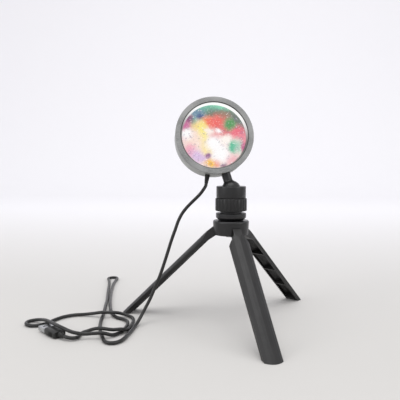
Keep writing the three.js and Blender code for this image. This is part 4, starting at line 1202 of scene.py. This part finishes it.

# %% [markdown]
# ## The studio
#
# The lamp stands on a seamless pale sheet that curves up behind it, so there is no horizon. The
# sheet is one bent strip: flat, a quarter turn, then upright. Two planes and a bevel would do as
# well, but the arc's radius is easier to set in a formula. Its colour carries painted shade and
# light:
# much darker and a little warmer on the flat near the lamp, paler and a little bluer up the back.

# %% Seamless sheet
sheet_finish = Finish("studio_sheet")
split = sheet_finish.node("ShaderNodeSeparateXYZ")
sheet_finish.join(sheet_finish.place, split.inputs[0])
# painted shade near the lamp and painted light up the back: one sheet, two tones blended along Y
NEAR_PAINTED_SHADE = (0.56, 0.55, 0.53, 1)
FAR_PAINTED_LIGHT = (0.96, 0.955, 0.975, 1)
rise = sheet_finish.spread(split.outputs["Y"], -0.1, 1.3, 0, 1, True)
sheet_finish.colour(sheet_finish.mix(rise, NEAR_PAINTED_SHADE, FAR_PAINTED_LIGHT))
sheet_finish.set(Roughness=0.7, Specular_IOR_Level=0.2)
sheet_finish.bump(sheet_finish.noise(40, 3), 0.03, 0.001)
builder = bmesh.new()
SHEET_FLAT = 1.6
SHEET_BEND = 0.7
SHEET_TOP = 3.2
SHEET_SIDE = 4
outline = [(-SHEET_FLAT, 0)]
for degrees in range(0, 91, 6):
    a = math.radians(degrees)
    outline.append(
        (SHEET_FLAT + SHEET_BEND * math.sin(a), SHEET_BEND - SHEET_BEND * math.cos(a))
    )
outline.append((2.3, SHEET_TOP))
columns = [
    [builder.verts.new((x, y, z)) for y, z in outline] for x in (-SHEET_SIDE, SHEET_SIDE)
]
for k in range(len(outline) - 1):
    builder.faces.new((columns[0][k], columns[1][k], columns[1][k + 1], columns[0][k + 1]))
studio = finished("studio_sheet", builder, sheet_finish.material, 60)
studio.location.z = -0.0002
print("studio sheet ready")

# %% [markdown]
# ## Lights
#
# One large soft light from above and two broad fills leave only faint shadows, a fourth light washes
# the back of the sheet, and a pale world fills the rest. Disk area lights are used because their
# edges are soft; spot or point lights of the same power would cast hard shadows of the thin legs.

# %% Lights


def soft_light(name, place, aim, size, power, tint=(1, 1, 1)):
    data = bpy.data.lights.new(name, "AREA")
    data.shape = "DISK"
    data.size = size
    data.energy = power
    data.color = tint
    light = bpy.data.objects.new(name, data)
    light.matrix_world = aimed(Vector(place), Vector(aim) - Vector(place))
    bpy.context.collection.objects.link(light)


soft_light("overhead", (-0.1, -0.2, 1.5), (0, 0.001, 0), 1.3, 9)
soft_light("left_fill", (-1.2, -0.7, 0.8), (0, 0, 0.12), 0.9, 5)
soft_light("right_fill", (1.2, -0.6, 0.7), (0, 0, 0.12), 0.9, 4)
soft_light("wall_wash", (0.4, 0.9, 1.9), (0.2, 2.3, 0.7), 1.2, 1.2, (0.98, 0.98, 1))
world = bpy.data.worlds.new("studio_air")
world.use_nodes = True
world.node_tree.nodes["Background"].inputs[0].default_value = (0.98, 0.975, 1.0, 1)
world.node_tree.nodes["Background"].inputs[1].default_value = 0.85
bpy.context.scene.world = world
bpy.context.scene.view_settings.view_transform = "Standard"
print("lights ready")
